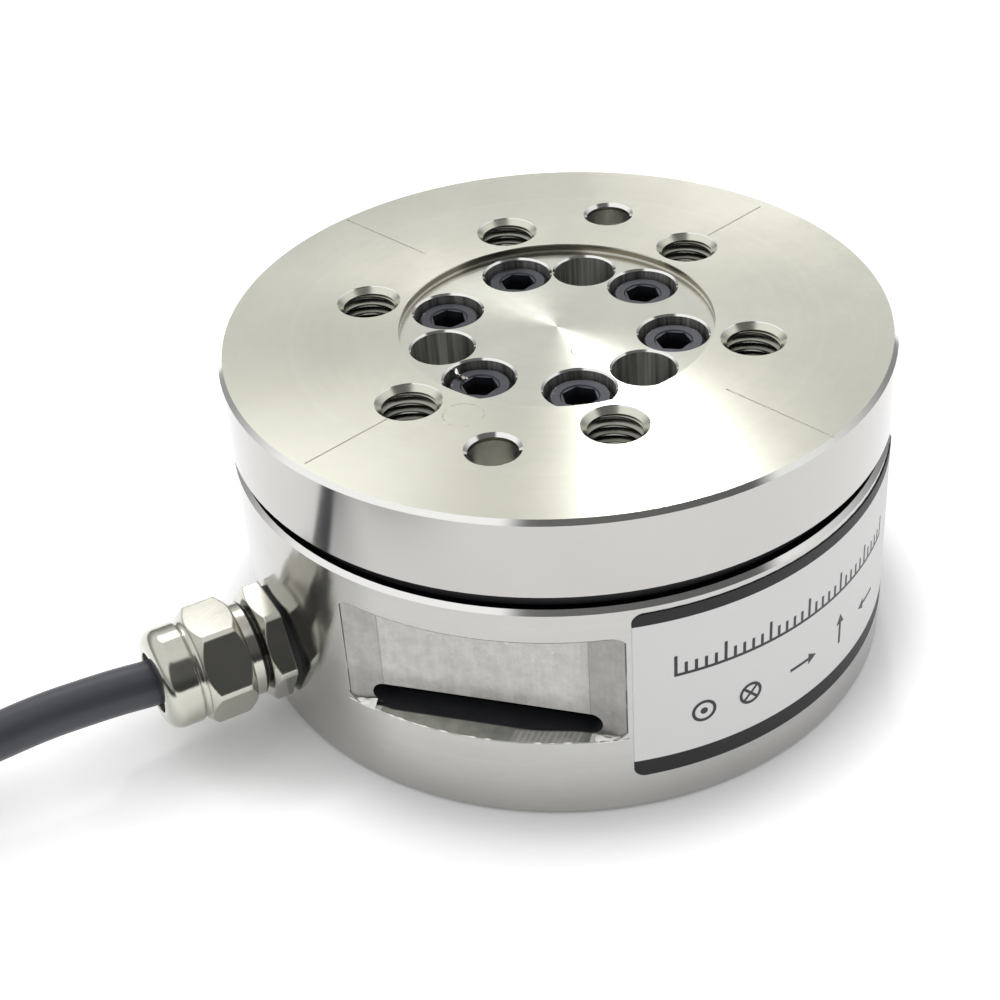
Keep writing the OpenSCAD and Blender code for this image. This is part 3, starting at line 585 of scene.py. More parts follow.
def recess_edges(g, z):
    """Painted highlights: bright lines where the recess meets the face and its own floor."""
    upper = g.ramp(z, FLANGE_TOP - 0.28 * MM, FLANGE_TOP - 0.18 * MM)
    lower = g.ramp(z, RECESS_FLOOR + 0.15 * MM, RECESS_FLOOR + 0.3 * MM, 1, 0)
    return g.math("MAXIMUM", upper, lower)


def face_marks(g, look, where, face):
    """The tones of the ring stain and of the engraved mark, a ring round a dot."""
    level = g.level(where)
    from_stain = g.vector("DISTANCE", level, STAIN_AT)
    ragged = g.ramp(g.noise(where, 900, 3), 0.44, 0.6)
    stain = g.both(g.inside(from_stain, STAIN_R - 0.22 * MM, STAIN_R + 0.1 * MM, 0.12 * MM), ragged, face)
    from_mark = g.vector("DISTANCE", level, MARK_AT)
    ring = g.inside(from_mark, MARK_R - 0.09 * MM, MARK_R + 0.09 * MM, 0.05 * MM)
    dot = g.ramp(from_mark, 0.2 * MM, 0.3 * MM, 1, 0)
    mark = g.both(g.math("MAXIMUM", ring, dot), face)
    return g.blend(stain, 1.0, 1 - look.stain), g.blend(mark, 1.0, 0.5)


def flange_material(look):
    """Turned steel: ringed faces, a near-mirror wall and dull bores, with painted shade in the bores, on the
    recess wall and on faces looking down, and painted highlights on the chamfers and the recess's edges.
    """
    material, g, shader = turned_metal("turned_steel", look.face_steel, 0.26, 1.0, 0.7)
    where = g.position()
    z = g.parts(where)[2]
    radius = g.vector("LENGTH", g.level(where))
    normal, up = g.facing()
    side = g.sideways(up)
    wall = g.both(side, g.ramp(radius, FLANGE_R - 0.2 * MM, FLANGE_R - 0.1 * MM))
    bore = g.both(side, g.ramp(radius, FLANGE_R - 0.6 * MM, FLANGE_R - 0.5 * MM, 1, 0))
    face = g.ramp(up, 0.93, 0.97)
    hub = g.both(face, g.ramp(radius, RECESS_R - 0.2 * MM, RECESS_R, 1, 0))
    level = g.ramp(g.math("ABSOLUTE", up), 0.9, 0.97)
    chamfer = g.math("SUBTRACT", g.math("SUBTRACT", 1, side), level)
    recess = g.both(bore, g.ramp(radius, RECESS_R - 0.2 * MM, RECESS_R - 0.15 * MM))
    bore = g.both(bore, g.math("SUBTRACT", 1, recess))
    turned = g.group(turning_group, Position=where, Tone=0.03)
    handled = g.handled(where, 45.0, 0.035, 0.03)
    drawn = g.streaks(where, (1400, 1400, 30), 3, 0.6)
    colour = g.mix(hub, look.face_steel, look.hub_steel)
    colour = g.mix(wall, colour, look.wall_steel)
    # The bores: darker as painted shade, with drawn streaks
    colour = g.mix(bore, colour, g.tinted(look.bore_steel, g.ramp(drawn, 0.3, 0.7, 0.55, 1.45)))
    # Painted shade on the recess wall
    colour = g.mix(recess, colour, RECESS_WALL_SHADE)
    # Painted highlights on the chamfers and along the recess's edges
    colour = g.mix(g.math("MAXIMUM", chamfer, g.both(recess, recess_edges(g, z))), colour, EDGE_HIGHLIGHT)
    # Painted shade: faces that look down are made nearly black
    underside_shade = g.ramp(up, -0.97, -0.93, 0.03, 1.0)
    tone = g.both(turned["Tone"], handled["Tone"], underside_shade, *face_marks(g, look, where, face))
    g.feed(shader.inputs["Base Color"], g.tinted(colour, tone))
    rough = g.blend(hub, look.face_polish, look.hub_polish)
    rough = g.blend(wall, g.blend(bore, g.blend(chamfer, rough, 0.09), 0.4), 0.15)
    g.feed(shader.inputs["Roughness"], g.math("ADD", rough, handled["Rough"]))
    rings = g.both(turned["Height"], g.ramp(up, 0.9, 0.97))
    g.feed(shader.inputs["Normal"],
           g.bump(rings, look.ring_depth, 0.5, round_normal(g, where, wall, normal)))
    return material


def thread_material(look):
    """Cut threads, with painted shade deeper in the hole and on flanks that look down, and a painted
    highlight on the mouth.
    """
    material, g, shader = new_material("cut_thread", look.face_steel, 0.22, 1.0)
    where = g.position()
    z = g.parts(where)[2]
    up = g.facing()[1]
    handled = g.handled(where, 300.0, 0.12, 0.08)
    # Painted shade deeper in the hole and on flanks that look down; painted highlight on the mouth's ring
    deep = g.ramp(z, FLANGE_TOP - 5 * MM, FLANGE_TOP - 1.2 * MM, 0.35, 0.8)
    under = g.ramp(up, -0.3, 0.3, 0.4, 1)
    mouth = g.both(g.ramp(z, FLANGE_TOP - 1.15 * MM, FLANGE_TOP - 1.05 * MM), g.ramp(up, 0.3, 0.5))
    tone = g.blend(mouth, g.both(handled["Tone"], deep, under), 1.25)
    g.feed(shader.inputs["Base Color"], g.tinted(look.face_steel, tone))
    g.feed(shader.inputs["Roughness"], g.math("ADD", 0.22, handled["Rough"]))
    return material


class SENSOR_OT_flange(bpy.types.Operator):
    """Finish the tool flange and cut the threads of its six tapped holes"""

    bl_idname = "sensor.flange"
    bl_label = "Tool flange"

    def execute(self, context):
        look = context.scene.sensor_flange
        paint_nodes(flange_material(look), "tool_flange")
        bm = bmesh.new()
        wall_r = TAP_R - 0.01 * MM
        crest_r = TAP_R - look.thread_depth
        # The mouth's ring starts just below the face, so its slope is a little narrower
        mouth = 0.15 * MM
        chamfer = look.mouth_chamfer
        chamfer_r = wall_r - chamfer + mouth
        half = look.thread_pitch / 2
        flat = 0.09 * MM
        start = -chamfer - half - look.thread_pitch * THREAD_TURNS
        for i in range(TAP_N):
            turn = math.tau * i / TAP_N
            centre = Vector((TAP_PLACE_R * math.cos(turn), TAP_PLACE_R * math.sin(turn), FLANGE_TOP))
            spin_ring(bm, [(wall_r, -mouth), (chamfer_r, -chamfer), (chamfer_r, -chamfer - flat),
                           (wall_r, -chamfer - half)], centre, 64)
            spin_helix(bm, [(wall_r, start - half + flat), (crest_r, start - flat),
                            (crest_r, start + flat), (wall_r, start + half - flat)],
                       centre, THREAD_TURNS + 0.2, look.thread_pitch, 48)
        finish_piece("hole_threads", bm, thread_material(look), smooth=40)
        return {"FINISHED"}


# ---- screws and pins ----

PIN_STEEL = (0.33, 0.33, 0.30)
SWARF_STEEL = (0.70, 0.68, 0.63)
SWARF_AT = Vector((-19.1 * MM, 2.4 * MM, SCREW_TOP))


def oxide_material(look):
    """Black oxide, worn lighter on the top of the head, with painted shade further down."""
    material, g, shader = new_material("black_oxide", look.oxide, 0.38, 0.55)
    where = g.position()
    z = g.parts(where)[2]
    up = g.facing()[1]
    handled = g.handled(where, 420.0, 0.25, 0.1)
    top = g.both(g.ramp(up, 0.9, 0.97), g.ramp(z, SCREW_TOP - 0.3 * MM, SCREW_TOP - 0.1 * MM))
    edge = g.both(g.inside(up, 0.35, 0.85, 0.1), g.ramp(z, SCREW_TOP - 0.7 * MM, SCREW_TOP - 0.5 * MM))
    worn = g.math("MAXIMUM", top, g.math("MULTIPLY", edge, 0.6))
    # Painted shade: darker further below the head's top
    deep = g.ramp(z, SCREW_TOP - 2 * MM, SCREW_TOP - 0.6 * MM, 0.35, 1)
    colour = g.mix(worn, look.oxide, look.worn_oxide)
    g.feed(shader.inputs["Base Color"], g.tinted(colour, g.both(handled["Tone"], deep)))
    g.feed(shader.inputs["Roughness"], g.math("ADD", 0.38, handled["Rough"]))
    return material


class SENSOR_OT_screws(bpy.types.Operator):
    """Finish the flange screws and drive pins, and leave a curl of swarf beside one head"""

    bl_idname = "sensor.screws"
    bl_label = "Screws and pins"

    def execute(self, context):
        look = context.scene.sensor_screws
        paint_nodes(oxide_material(look), "flange_screws")
        pins = plain_material("ground_pin", PIN_STEEL, 0.3, 1.0, scale=260.0, tone=0.18, rub=0.1)
        paint_nodes(pins, "drive_pins")

        def curl(u, v):
            crumple = noise.noise(Vector((u * 6, v * 3, 2.5)))
            taper = 0.25 + 0.75 * math.sin(math.pi * (0.15 + 0.7 * u))
            wide = 1.7 * MM * taper * (1 + 0.5 * crumple)
            lift = 0.3 + 0.45 * abs(v) + 0.4 * crumple + 0.25 * math.sin(u * 7)
            return SWARF_AT + Vector(((0.35 * v + 0.12 * crumple) * wide,
                                      (0.5 - u) * look.swarf_length + v * wide * 0.5, lift * MM))

        bm = bmesh.new()
        ribbon(bm, 24, curl, 0.08 * MM, 5)
        chip = plain_material("swarf", SWARF_STEEL, 0.3, 1.0, scale=900.0, tone=0.2, rub=0)
        finish_piece("swarf", bm, chip, smooth=50)
        return {"FINISHED"}


# ---- spring body ----

SPECK = (0.80, 0.79, 0.77)
CUTTER_LINE = (0.10, 0.10, 0.095)
CHATTER_TOOTH = (0.62, 0.62, 0.60)
# Painted light on the ends of the ledge
LEDGE_END_LIGHT = (0.93, 0.93, 0.86)
# Painted shade in the slot and on the ledge in front of it
SLOT_PAINTED_SHADE = (0.020, 0.021, 0.026)
# Painted shade on the body's inside
INSIDE_SHADE = (0.17, 0.17, 0.165)
# Painted shade on the rim's top in the seam
SEAM_SHADE = (0.015, 0.015, 0.018)
# Painted highlight on the body's upper chamfer
BODY_EDGE_HIGHLIGHT = (0.84, 0.83, 0.81)
BURR_STEEL = (0.74, 0.73, 0.70)
# Where a pocket's milled wall meets its end, along the pocket, and where the slot ends
CORNER_T = 16 * MM
SLOT_END_T = 18 * MM
# What lies inside this radius is painted dark as shade
RIM_IN_R = 43 * MM


class PocketPlace:
    """Places in a pocket, the same in all three, and the masks that its marks share."""

    def __init__(self, g, where, radius, side, up):
        x, y, self.z = g.parts(where)
        turn = g.math("SUBTRACT", g.math("ARCTAN2", y, x), POCKET_ANGLE)
        wrapped = g.math("WRAP", turn, math.pi / POCKET_N, -math.pi / POCKET_N)
        self.where, self.radius, self.side = where, radius, side
        # Along the pocket, from its middle either way, and out from the axis through its middle
        self.t = g.math("MULTIPLY", radius, g.math("SINE", wrapped))
        self.far = g.math("ABSOLUTE", self.t)
        self.out = g.math("MULTIPLY", radius, g.math("COSINE", wrapped))
        self.mottle = g.noise(where, 420, 4, 0.65)
        self.upright = g.streaks(where, (1600, 1600, 120), 3)
        self.mask = g.both(g.ramp(radius, BODY_R - 0.12 * MM, BODY_R - 0.08 * MM, 1, 0),
                           g.ramp(radius, RIM_IN_R - 0.5 * MM, RIM_IN_R + 0.5 * MM),
                           g.inside(self.z, POCKET_FOOT - 0.2 * MM, POCKET_TOP + 0.2 * MM, 0.05 * MM))
        self.ledge = g.both(self.mask, g.ramp(up, 0.9, 0.97))
        # The ledge's ends beside the slot, where light is painted
        self.ends = g.both(self.ledge, g.ramp(self.far, CORNER_T + 0.1 * MM, CORNER_T + 0.3 * MM))
        self.chatter = g.both(self.ledge, g.inside(self.t, 5 * MM, 15 * MM, 0.7 * MM),
                              g.ramp(radius, 50.2 * MM, 50.9 * MM))


def milled_wall(g, look, at):
    """A pocket's milled wall: blotches, upright marks and a few specks, with painted shade on its ends and
    towards one end, and darker towards its foot.
    """
    corner = g.ramp(at.far, CORNER_T - 0.1 * MM, CORNER_T + 0.1 * MM)
    tone = g.both(g.ramp(at.mottle, 0.3, 0.7, 0.84, 1.24), g.ramp(at.upright, 0.3, 0.7, 0.96, 1.04),
                  # Painted shade at the wall's ends and towards one end
                  g.blend(corner, 1.0, 0.80), g.ramp(at.t, 12 * MM, 17 * MM, 1.0, 0.84),
                  g.ramp(at.z, POCKET_FOOT + 4.2 * MM, POCKET_FOOT + 7.5 * MM, 0.80, 1))
    specks = g.both(g.ramp(g.noise(at.where, 1500, 2), 0.64, 0.7), g.ramp(at.z, 24 * MM, 28 * MM),
                    g.ramp(at.far, 10 * MM, 13 * MM, 1, 0))
    return g.mix(specks, g.tinted(look.milled_steel, tone), SPECK)


def cutter_lines(g, at):
    """The cutter's outline: a line round the pocket, and a fainter one where wall and end meet."""
    top = g.ramp(at.z, POCKET_TOP - 0.26 * MM, POCKET_TOP - 0.18 * MM)
    end = g.both(g.ramp(at.radius, BODY_R - 0.22 * MM, BODY_R - 0.16 * MM),
                 g.ramp(at.far, 20 * MM, 20.5 * MM))
    corner = g.inside(at.far, CORNER_T - 0.05 * MM, CORNER_T + 0.08 * MM, 0.04 * MM)
    lines = g.math("MAXIMUM", g.math("MAXIMUM", top, end), g.math("MULTIPLY", corner, 0.5))
    return g.both(lines, at.side, g.ramp(g.noise(at.where, 260, 2), 0.35, 0.55, 0.4, 1.0))


def chatter_comb(g, at):
    """Leaning teeth along the ledge, as a chattering cutter leaves them."""
    comb = g.add("ShaderNodeTexWave", wave_type="BANDS", bands_direction="X", wave_profile="SAW")
    lean = g.math("ADD", at.t, g.math("MULTIPLY", at.radius, 0.12))
    g.feed(comb.inputs["Vector"], g.join(lean, 0.0, 0.0))
    comb.inputs["Scale"].default_value = 360
    comb.inputs["Distortion"].default_value = 2.2
    comb.inputs["Detail"].default_value = 1
    return comb.outputs["Fac"]


def slot_shade(g, at):
    """Painted shade: the inside of the slot, and the ledge close in front of it."""
    reach = g.both(g.ramp(at.t, 6 * MM, CORNER_T, 1.5 * MM, 0.2 * MM),
                   g.ramp(at.t, -CORNER_T - 0.4 * MM, -CORNER_T + 2 * MM, 0.7, 1.0))
    front = g.math("SUBTRACT", at.out, g.math("ADD", POCKET_FLOOR_R, reach))
    behind = g.ramp(at.out, POCKET_FLOOR_R - 0.05 * MM, POCKET_FLOOR_R - 0.02 * MM, 1, 0)
    return g.both(at.mask, g.ramp(at.z, SLOT_TOP, SLOT_TOP + 0.05 * MM, 1, 0),
                  g.ramp(front, -0.25 * MM, 0.15 * MM, 1, 0),
                  g.ramp(at.far, SLOT_END_T - 0.1 * MM, SLOT_END_T, 1, 0),
                  g.math("MAXIMUM", at.ledge, behind))


def pocket_colour(g, look, at, comb, slot):
    """All of a pocket: the milled wall and its lines, the dull ledge with its marks and painted light on its
    ends, and painted shade in the slot.
    """
    colour = g.mix(cutter_lines(g, at), milled_wall(g, look, at), CUTTER_LINE)
    # The ledge's tone: mottled, with painted light at one end fading to painted shade at the other
    dull = g.both(g.ramp(at.mottle, 0.3, 0.7, 0.85, 1.15), g.ramp(at.t, -16 * MM, 10 * MM, 1.3, 0.75))
    plain_ledge = g.both(at.ledge, g.blend(at.chatter, 1.0, 0.0))
    colour = g.mix(plain_ledge, colour, g.tinted(look.ledge_steel, dull))
    colour = g.mix(g.both(at.chatter, g.ramp(comb, 0.35, 0.8)), colour, CHATTER_TOOTH)
    # Painted light on the ends of the ledge beside the slot
    colour = g.mix(at.ends, colour, g.tinted(LEDGE_END_LIGHT, g.ramp(at.mottle, 0.3, 0.7, 0.85, 1.05)))
    return g.mix(slot, colour, SLOT_PAINTED_SHADE)


def body_material(look):
    """Ground steel round the wall and raw milled steel in the pockets, with painted shade inside, in the
    seam and in the slots, and a painted highlight on the upper chamfer.
    """
    material, g, shader = turned_metal("spring_steel", look.ground_steel, 0.12, 1.0, 0.8)
    where = g.position()
    radius = g.vector("LENGTH", g.level(where))
    normal, up = g.facing()
    side = g.sideways(up)
    at = PocketPlace(g, where, radius, side, up)
    wall = g.both(side, g.ramp(radius, BODY_R - 0.09 * MM, BODY_R - 0.04 * MM))
    chamfer = g.both(g.inside(up, 0.4, 0.85, 0.1), g.ramp(radius, BODY_R - 1 * MM, BODY_R - 0.8 * MM))
    inner = g.ramp(radius, RIM_IN_R - 0.5 * MM, RIM_IN_R + 0.5 * MM, 1, 0)
    seam = g.both(g.ramp(at.z, SEAM_FOOT - 0.1 * MM, SEAM_FOOT - 0.05 * MM), g.ramp(up, 0.93, 0.97))
    ground = g.group(grinding_group, Position=where, Tone=0.045)
    handled = g.handled(where, 38.0, 0.05, 0.04)
    comb = chatter_comb(g, at)
    slot = slot_shade(g, at)
    wall_colour = g.tinted(look.ground_steel, g.both(ground["Tone"], handled["Tone"]))
    colour = g.mix(at.mask, wall_colour, pocket_colour(g, look, at, comb, slot))
    # Painted shade: the inside, and the rim's top in the seam, are painted dark
    colour = g.mix(inner, colour, INSIDE_SHADE)
    colour = g.mix(seam, colour, SEAM_SHADE)
    # Painted highlight on the upward chamfer
    g.feed(shader.inputs["Base Color"], g.mix(chamfer, colour, BODY_EDGE_HIGHLIGHT))
    # Painted light on the ledge's ends and painted shade in the slot are not metallic
    metal = g.blend(g.math("MAXIMUM", at.ends, slot), 1.0, 0.0)
    g.feed(shader.inputs["Metallic"], g.both(g.blend(at.ledge, 1.0, 0.35), metal))
    rough = g.blend(wall, g.blend(chamfer, 0.3, 0.1), 0.15)
    rough = g.blend(at.mask, rough, g.ramp(at.mottle, 0.3, 0.7, 0.36, 0.52))
    g.feed(shader.inputs["Roughness"], g.math("ADD", rough, handled["Rough"]))
    milled = g.both(at.mask, g.math("ADD", at.mottle, g.math("MULTIPLY", at.upright, 0.25)))
    streaks = g.both(wall, g.math("MULTIPLY", ground["Height"], 0.06))
    teeth = g.math("MULTIPLY", g.both(at.chatter, comb), 1.5)
    height = g.math("ADD", milled, g.math("ADD", streaks, teeth))
    g.feed(shader.inputs["Normal"],
           g.bump(height, 0.03 * MM, 0.6, round_normal(g, where, wall, normal)))
    return material


def rubber_material(name, colour):
    """Moulded rubber with a fine grain."""
    return plain_material(name, colour, 0.55, scale=150.0, tone=0.2, rub=0.08)


def ribbon(bm, steps, place, thick, rows=2):
    """A thin strip with a thickness: place(u, v) lays it, u from 0 to 1 and v from -0.5 to 0.5."""
    verts = bmesh.ops.create_grid(bm, x_segments=steps, y_segments=rows, size=0.5)["verts"]
    for vert in verts:
        vert.co = place(vert.co.x + 0.5, vert.co.y)
    faces = list({face for vert in verts for face in vert.link_faces})
    bmesh.ops.solidify(bm, geom=faces, thickness=thick)


def pocket_point(t, z, out=0.0):
    """A point of the round wall, t along the front pocket, out from the wall."""
    r = BODY_R + out
    across = math.asin(t / BODY_R)
    return Vector((r * math.cos(POCKET_ANGLE + across), r * math.sin(POCKET_ANGLE + across), z))


class SENSOR_OT_body(bpy.types.Operator):
    """Finish the spring body and the dust seal, and leave the burrs along a pocket"""

    bl_idname = "sensor.body"
    bl_label = "Spring body"

    def execute(self, context):
        look = context.scene.sensor_body
        paint_nodes(body_material(look), "spring_body")
        paint_nodes(rubber_material("seal_rubber", look.seal_rubber), "dust_seal", "cover_ring")
        bm = bmesh.new()
        # A ragged lip along the ledge's outer edge, and a fine one along the top edge
        for edge, span, big, down in ((POCKET_FOOT, 20.5 * MM, 1.0, 0.5), (POCKET_TOP, 20 * MM, 0.35, -0.5)):
            def lip(u, v):
                t = span * (2 * u - 1)
                lump = noise.noise(Vector((t / MM * 0.9, edge / MM, look.burr_seed)))
                fine = noise.noise(Vector((t / MM * 6, edge / MM, look.burr_seed)))
                high = look.burr_height * big * max(0.05, 1.3 * lump - 0.05) * (0.85 + 0.6 * fine)
                out = 0.25 * high - (0.3 * MM + high) * abs(v)
                return pocket_point(t, edge - 2 * down * (v * high - 0.05 * MM * (v < 0)), out)
            ribbon(bm, 150, lip, 0.06 * MM)
        # Torn flaps where the cutter left the ledge, one at each end
        for start, end, wide in ((-21.8 * MM, -17.1 * MM, 0.9), (21.8 * MM, 16.9 * MM, 0.6)):
            def flap(u, v):
                t = start + (end - start) * u
                crumple = noise.noise(Vector((u * 5, v * 3, look.burr_seed + wide)))
                deep = (math.sqrt(BODY_R ** 2 - t ** 2) - POCKET_FLOOR_R) * (0.5 + v) * wide
                rise = 0.45 * deep + (0.07 * crumple - 0.05) * MM
                return pocket_point(t, POCKET_FOOT + rise, 0.1 * MM) - deep * POCKET_OUT
            ribbon(bm, 24, flap, 0.1 * MM, 4)
        burr = plain_material("burr", BURR_STEEL, 0.24, 1.0, scale=900.0, tone=0.2, rub=0)
        finish_piece("pocket_burrs", bm, burr, smooth=35)
        return {"FINISHED"}


# ---- inside and base ----

MASK_GREEN = (0.02, 0.17, 0.07)
BOARD_GREEN = (0.018, 0.15, 0.06)
TRACK_GREEN = (0.045, 0.27, 0.11)
COVER_ALLOY = (0.34, 0.34, 0.35)
# Finishes of the small parts: name, colour, roughness, how metallic it is, and its nodes
SMALL_PARTS = (
    ("gauge_foil", (0.55, 0.32, 0.09), 0.3, 0.2, ("strain_gauges",)),
    ("gold_flash", (0.80, 0.60, 0.24), 0.25, 1.0, ("solder_tabs", "connector_pins")),
    ("chip_plastic", (0.02, 0.02, 0.022), 0.5, 0.0, ("board_chips",)),
    ("ivory_nylon", (0.72, 0.69, 0.58), 0.45, 0.0, ("header_block", "gland_cage")),
    ("brass_pillar", (0.72, 0.55, 0.25), 0.25, 1.0, ("board_pillars",)),
    ("small_screw", (0.60, 0.60, 0.60), 0.25, 1.0, ("board_screws", "cover_screws")),
)


def board_material():
    """Green solder mask with paler copper tracks under it."""
    material, g, shader = new_material("solder_mask", MASK_GREEN, 0.3)
    cells = g.add("ShaderNodeTexVoronoi", feature="DISTANCE_TO_EDGE", distance="MANHATTAN")
    g.feed(cells.inputs["Vector"], g.position())
    cells.inputs["Scale"].default_value = 260
    track = g.ramp(cells.outputs["Distance"], 0.03, 0.08, 1, 0)
    g.feed(shader.inputs["Base Color"], g.mix(track, BOARD_GREEN, TRACK_GREEN))
    return material


class SENSOR_OT_inside(bpy.types.Operator):
    """Finish the gauges, the board and its parts"""

    bl_idname = "sensor.inside"
    bl_label = "Gauges and board"

    def execute(self, context):
        for name, colour, rough, metallic, nodes in SMALL_PARTS:
            paint_nodes(plain_material(name, colour, rough, metallic), *nodes)
        paint_nodes(board_material(), "amplifier_board")
        return {"FINISHED"}


class SENSOR_OT_base(bpy.types.Operator):
    """Finish the cover of the base"""

    bl_idname = "sensor.base"
    bl_label = "Base cover"

    def execute(self, context):
        material, g, shader = new_material("cover_alloy", COVER_ALLOY, 0.36, 0.9, Anisotropic=0.5,
                                           Anisotropic_Rotation=0.25)
        where = g.position()
        turned = g.group(turning_group, Position=where, Tone=0.08)
        handled = g.handled(where, 50.0, 0.08, 0.06)
        g.feed(shader.inputs["Base Color"], g.tinted(COVER_ALLOY, g.both(turned["Tone"], handled["Tone"])))
        g.feed(shader.inputs["Roughness"], g.math("ADD", 0.36, handled["Rough"]))
        g.feed(shader.inputs["Normal"], g.bump(turned["Height"], 0.006 * MM, 0.5))
        paint_nodes(material, "base_cover")
        return {"FINISHED"}


# ---- gland ----

# Painted shade on the gland's neck
NECK_SHADE = (0.018, 0.016, 0.015)
GLAND_RUBBER = (0.010, 0.010, 0.012)
PLATED_EDGE = 0.4 * MM


def nickel_material(name, colour, rough):
    """Bright plating with light handling marks: itself, its graph and its shader."""
    material, g, shader = new_material(name, colour, rough, 1.0)
    where = g.position()
    handled = g.handled(where, 120.0, 0.06, 0.05)
    scratches = g.ramp(g.streaks(where, (300, 2600, 900), 2), 0.6, 0.72)
    g.feed(shader.inputs["Base Color"], g.tinted(colour, handled["Tone"]))
    g.feed(shader.inputs["Roughness"], g.math("ADD", rough, handled["Rough"]))
    # Edges turn over a small radius, as plated edges do
    rounded = g.add("ShaderNodeBevel", samples=6)
    rounded.inputs["Radius"].default_value = PLATED_EDGE
    g.feed(shader.inputs["Normal"], g.bump(scratches, 0.006 * MM, 0.35, rounded.outputs[0]))
    return material, g, shader


def gland_neck(material, g, shader):
    """Paints shade on the neck between the gland's two hexagons: dark, and not metallic."""
    x, y, _ = g.parts(g.position())
    along = g.math("ADD", g.math("MULTIPLY", x, math.cos(GLAND_ANGLE)),
                   g.math("MULTIPLY", y, math.sin(GLAND_ANGLE)))
    neck = g.inside(along, NECK_S + 0.04 * MM, NECK_S + NECK_LEN, 0.02 * MM)
    colour = shader.inputs["Base Color"].links[0].from_socket
    g.feed(shader.inputs["Base Color"], g.mix(neck, colour, NECK_SHADE))
    g.feed(shader.inputs["Metallic"], g.math("SUBTRACT", 1, neck))
    return material


class SENSOR_OT_gland(bpy.types.Operator):
    """Finish the cable gland"""

    bl_idname = "sensor.gland"
    bl_label = "Cable gland"

    def execute(self, context):
        look = context.scene.sensor_gland
        paint_nodes(gland_neck(*nickel_material("gland_nickel", look.nickel, look.polish)),
                    "gland_nut", "gland_body")
        paint_nodes(rubber_material("gland_rubber", GLAND_RUBBER), "gland_washer", "gland_seal")
        return {"FINISHED"}


# ---- label ----

def label_material(look):
    """Satin film with a dark band along its upper and its lower edge."""
    material, g, shader = new_material("label_film", look.film, 0.5, Specular_IOR_Level=0.3)
    where = g.position()
    z = g.parts(where)[2]
    handled = g.handled(where, 90.0, 0.012, 0.05)
    soft = 0.04 * MM
    top = LABEL_HIGH.z - look.top_band
    foot = LABEL_LOW.z + look.foot_band
    bands = g.math("MAXIMUM", g.ramp(z, top - soft, top + soft), g.ramp(z, foot - soft, foot + soft, 1, 0))
    g.feed(shader.inputs["Base Color"], g.tinted(g.mix(bands, look.film, look.ink), handled["Tone"]))
    g.feed(shader.inputs["Roughness"], g.math("ADD", 0.5, handled["Rough"]))
    return material


class LabelInk:
    """Flat marks drawn in (along, up) on the label, and then wrapped round the body."""

    def __init__(self):
        self.bm = bmesh.new()

    def bar(self, along, up, wide, high, turn=0.0):
        """A bar centred on a place."""
        steps = max(1, round(wide / (1.2 * MM)))
        matrix = (Matrix.Translation((along, up, 0)) @ Matrix.Rotation(turn, 4, "Z")
                  @ Matrix.Diagonal((wide, high, 1, 1)))
        bmesh.ops.create_grid(self.bm, x_segments=steps, y_segments=1, size=0.5, matrix=matrix)

    def disc(self, along, up, radius, sides=24, turn=0.0):
        """A disc, or a pointed mark with three sides."""
        matrix = Matrix.Translation((along, up, 0)) @ Matrix.Rotation(turn, 4, "Z")
        bmesh.ops.create_circle(self.bm, cap_ends=True, segments=sides, radius=radius, matrix=matrix)

    def ring(self, along, up, radius, line):
        """A circle drawn with a line."""
        matrix = Matrix.Translation((along, up, 0))
        edges = []
        for r in (radius, radius - line):
            verts = bmesh.ops.create_circle(self.bm, segments=32, radius=r, matrix=matrix)["verts"]
            edges += {e for v in verts for e in v.link_edges}
        bmesh.ops.bridge_loops(self.bm, edges=edges)

    def wrap(self):
        """Gives the marks a thickness and lays them on the label."""
        bmesh.ops.solidify(self.bm, geom=self.bm.faces[:], thickness=0.02 * MM)
        low = min(v.co.z for v in self.bm.verts)
        for vert in self.bm.verts:
            along, up, out = vert.co
            r = LABEL_R + out - low + 0.005 * MM
            angle = LABEL_START + along / LABEL_R
            vert.co = (r * math.cos(angle), r * math.sin(angle), up)
        return self.bm


class SENSOR_OT_label(bpy.types.Operator):
    """Finish the label and draw its plain scale and axis signs"""

    bl_idname = "sensor.label"
    bl_label = "Label"

    def execute(self, context):
        look = context.scene.sensor_label
        paint_nodes(label_material(look), "rating_label")
        ink = LabelInk()
        # A scale of ticks on a line, every fifth one long
        line = 0.5 * MM
        base = 25.2 * MM
        first = 6.5 * MM
        count = 31
        span = (count - 1) * look.tick_step
        ink.bar(first + span / 2, base, span + line, line)
        for i in range(count):
            high = 3.6 * MM if i % 5 == 0 else 2.1 * MM
            ink.bar(first + i * look.tick_step, base + high / 2, line, high)
        # Axis signs: out of the face, into it, and arrows along, up and back
        row = 16.8 * MM
        sign_r = 2 * MM
        tip = 2.4 * MM
        ink.ring(11 * MM, row, sign_r, line)
        ink.disc(11 * MM, row, 0.6 * MM)
        ink.ring(19 * MM, row, sign_r, line)
        for turn in (45, 135):
            ink.bar(19 * MM, row, 3.2 * MM, 0.45 * MM, math.radians(turn))
        for along, turn in ((29 * MM, 0), (39 * MM, 90), (49 * MM, 180)):
            spin = math.radians(turn)
            ink.bar(along, row, 4.4 * MM, 0.55 * MM, spin)
            ink.disc(along + tip * math.cos(spin), row + tip * math.sin(spin), 1.2 * MM, 3,
                     spin - math.pi / 2)
        material = plain_material("label_ink", look.ink, 0.4)
        finish_piece("label_marks", ink.wrap(), material)
        return {"FINISHED"}


# ---- lead and connector ----

INSERT_PLASTIC = (0.022, 0.022, 0.024)
TIE_NYLON = (0.020, 0.020, 0.022)
# How far the climb from the coil's lower layer to its upper one bulges in
CLIMB_IN = 0.8 * MM
ROUND_STEPS = 28


def smoothstep(t):
    """0 to 1, with level ends."""
    t = min(max(t, 0.0), 1.0)
    return t * t * (3 - 2 * t)


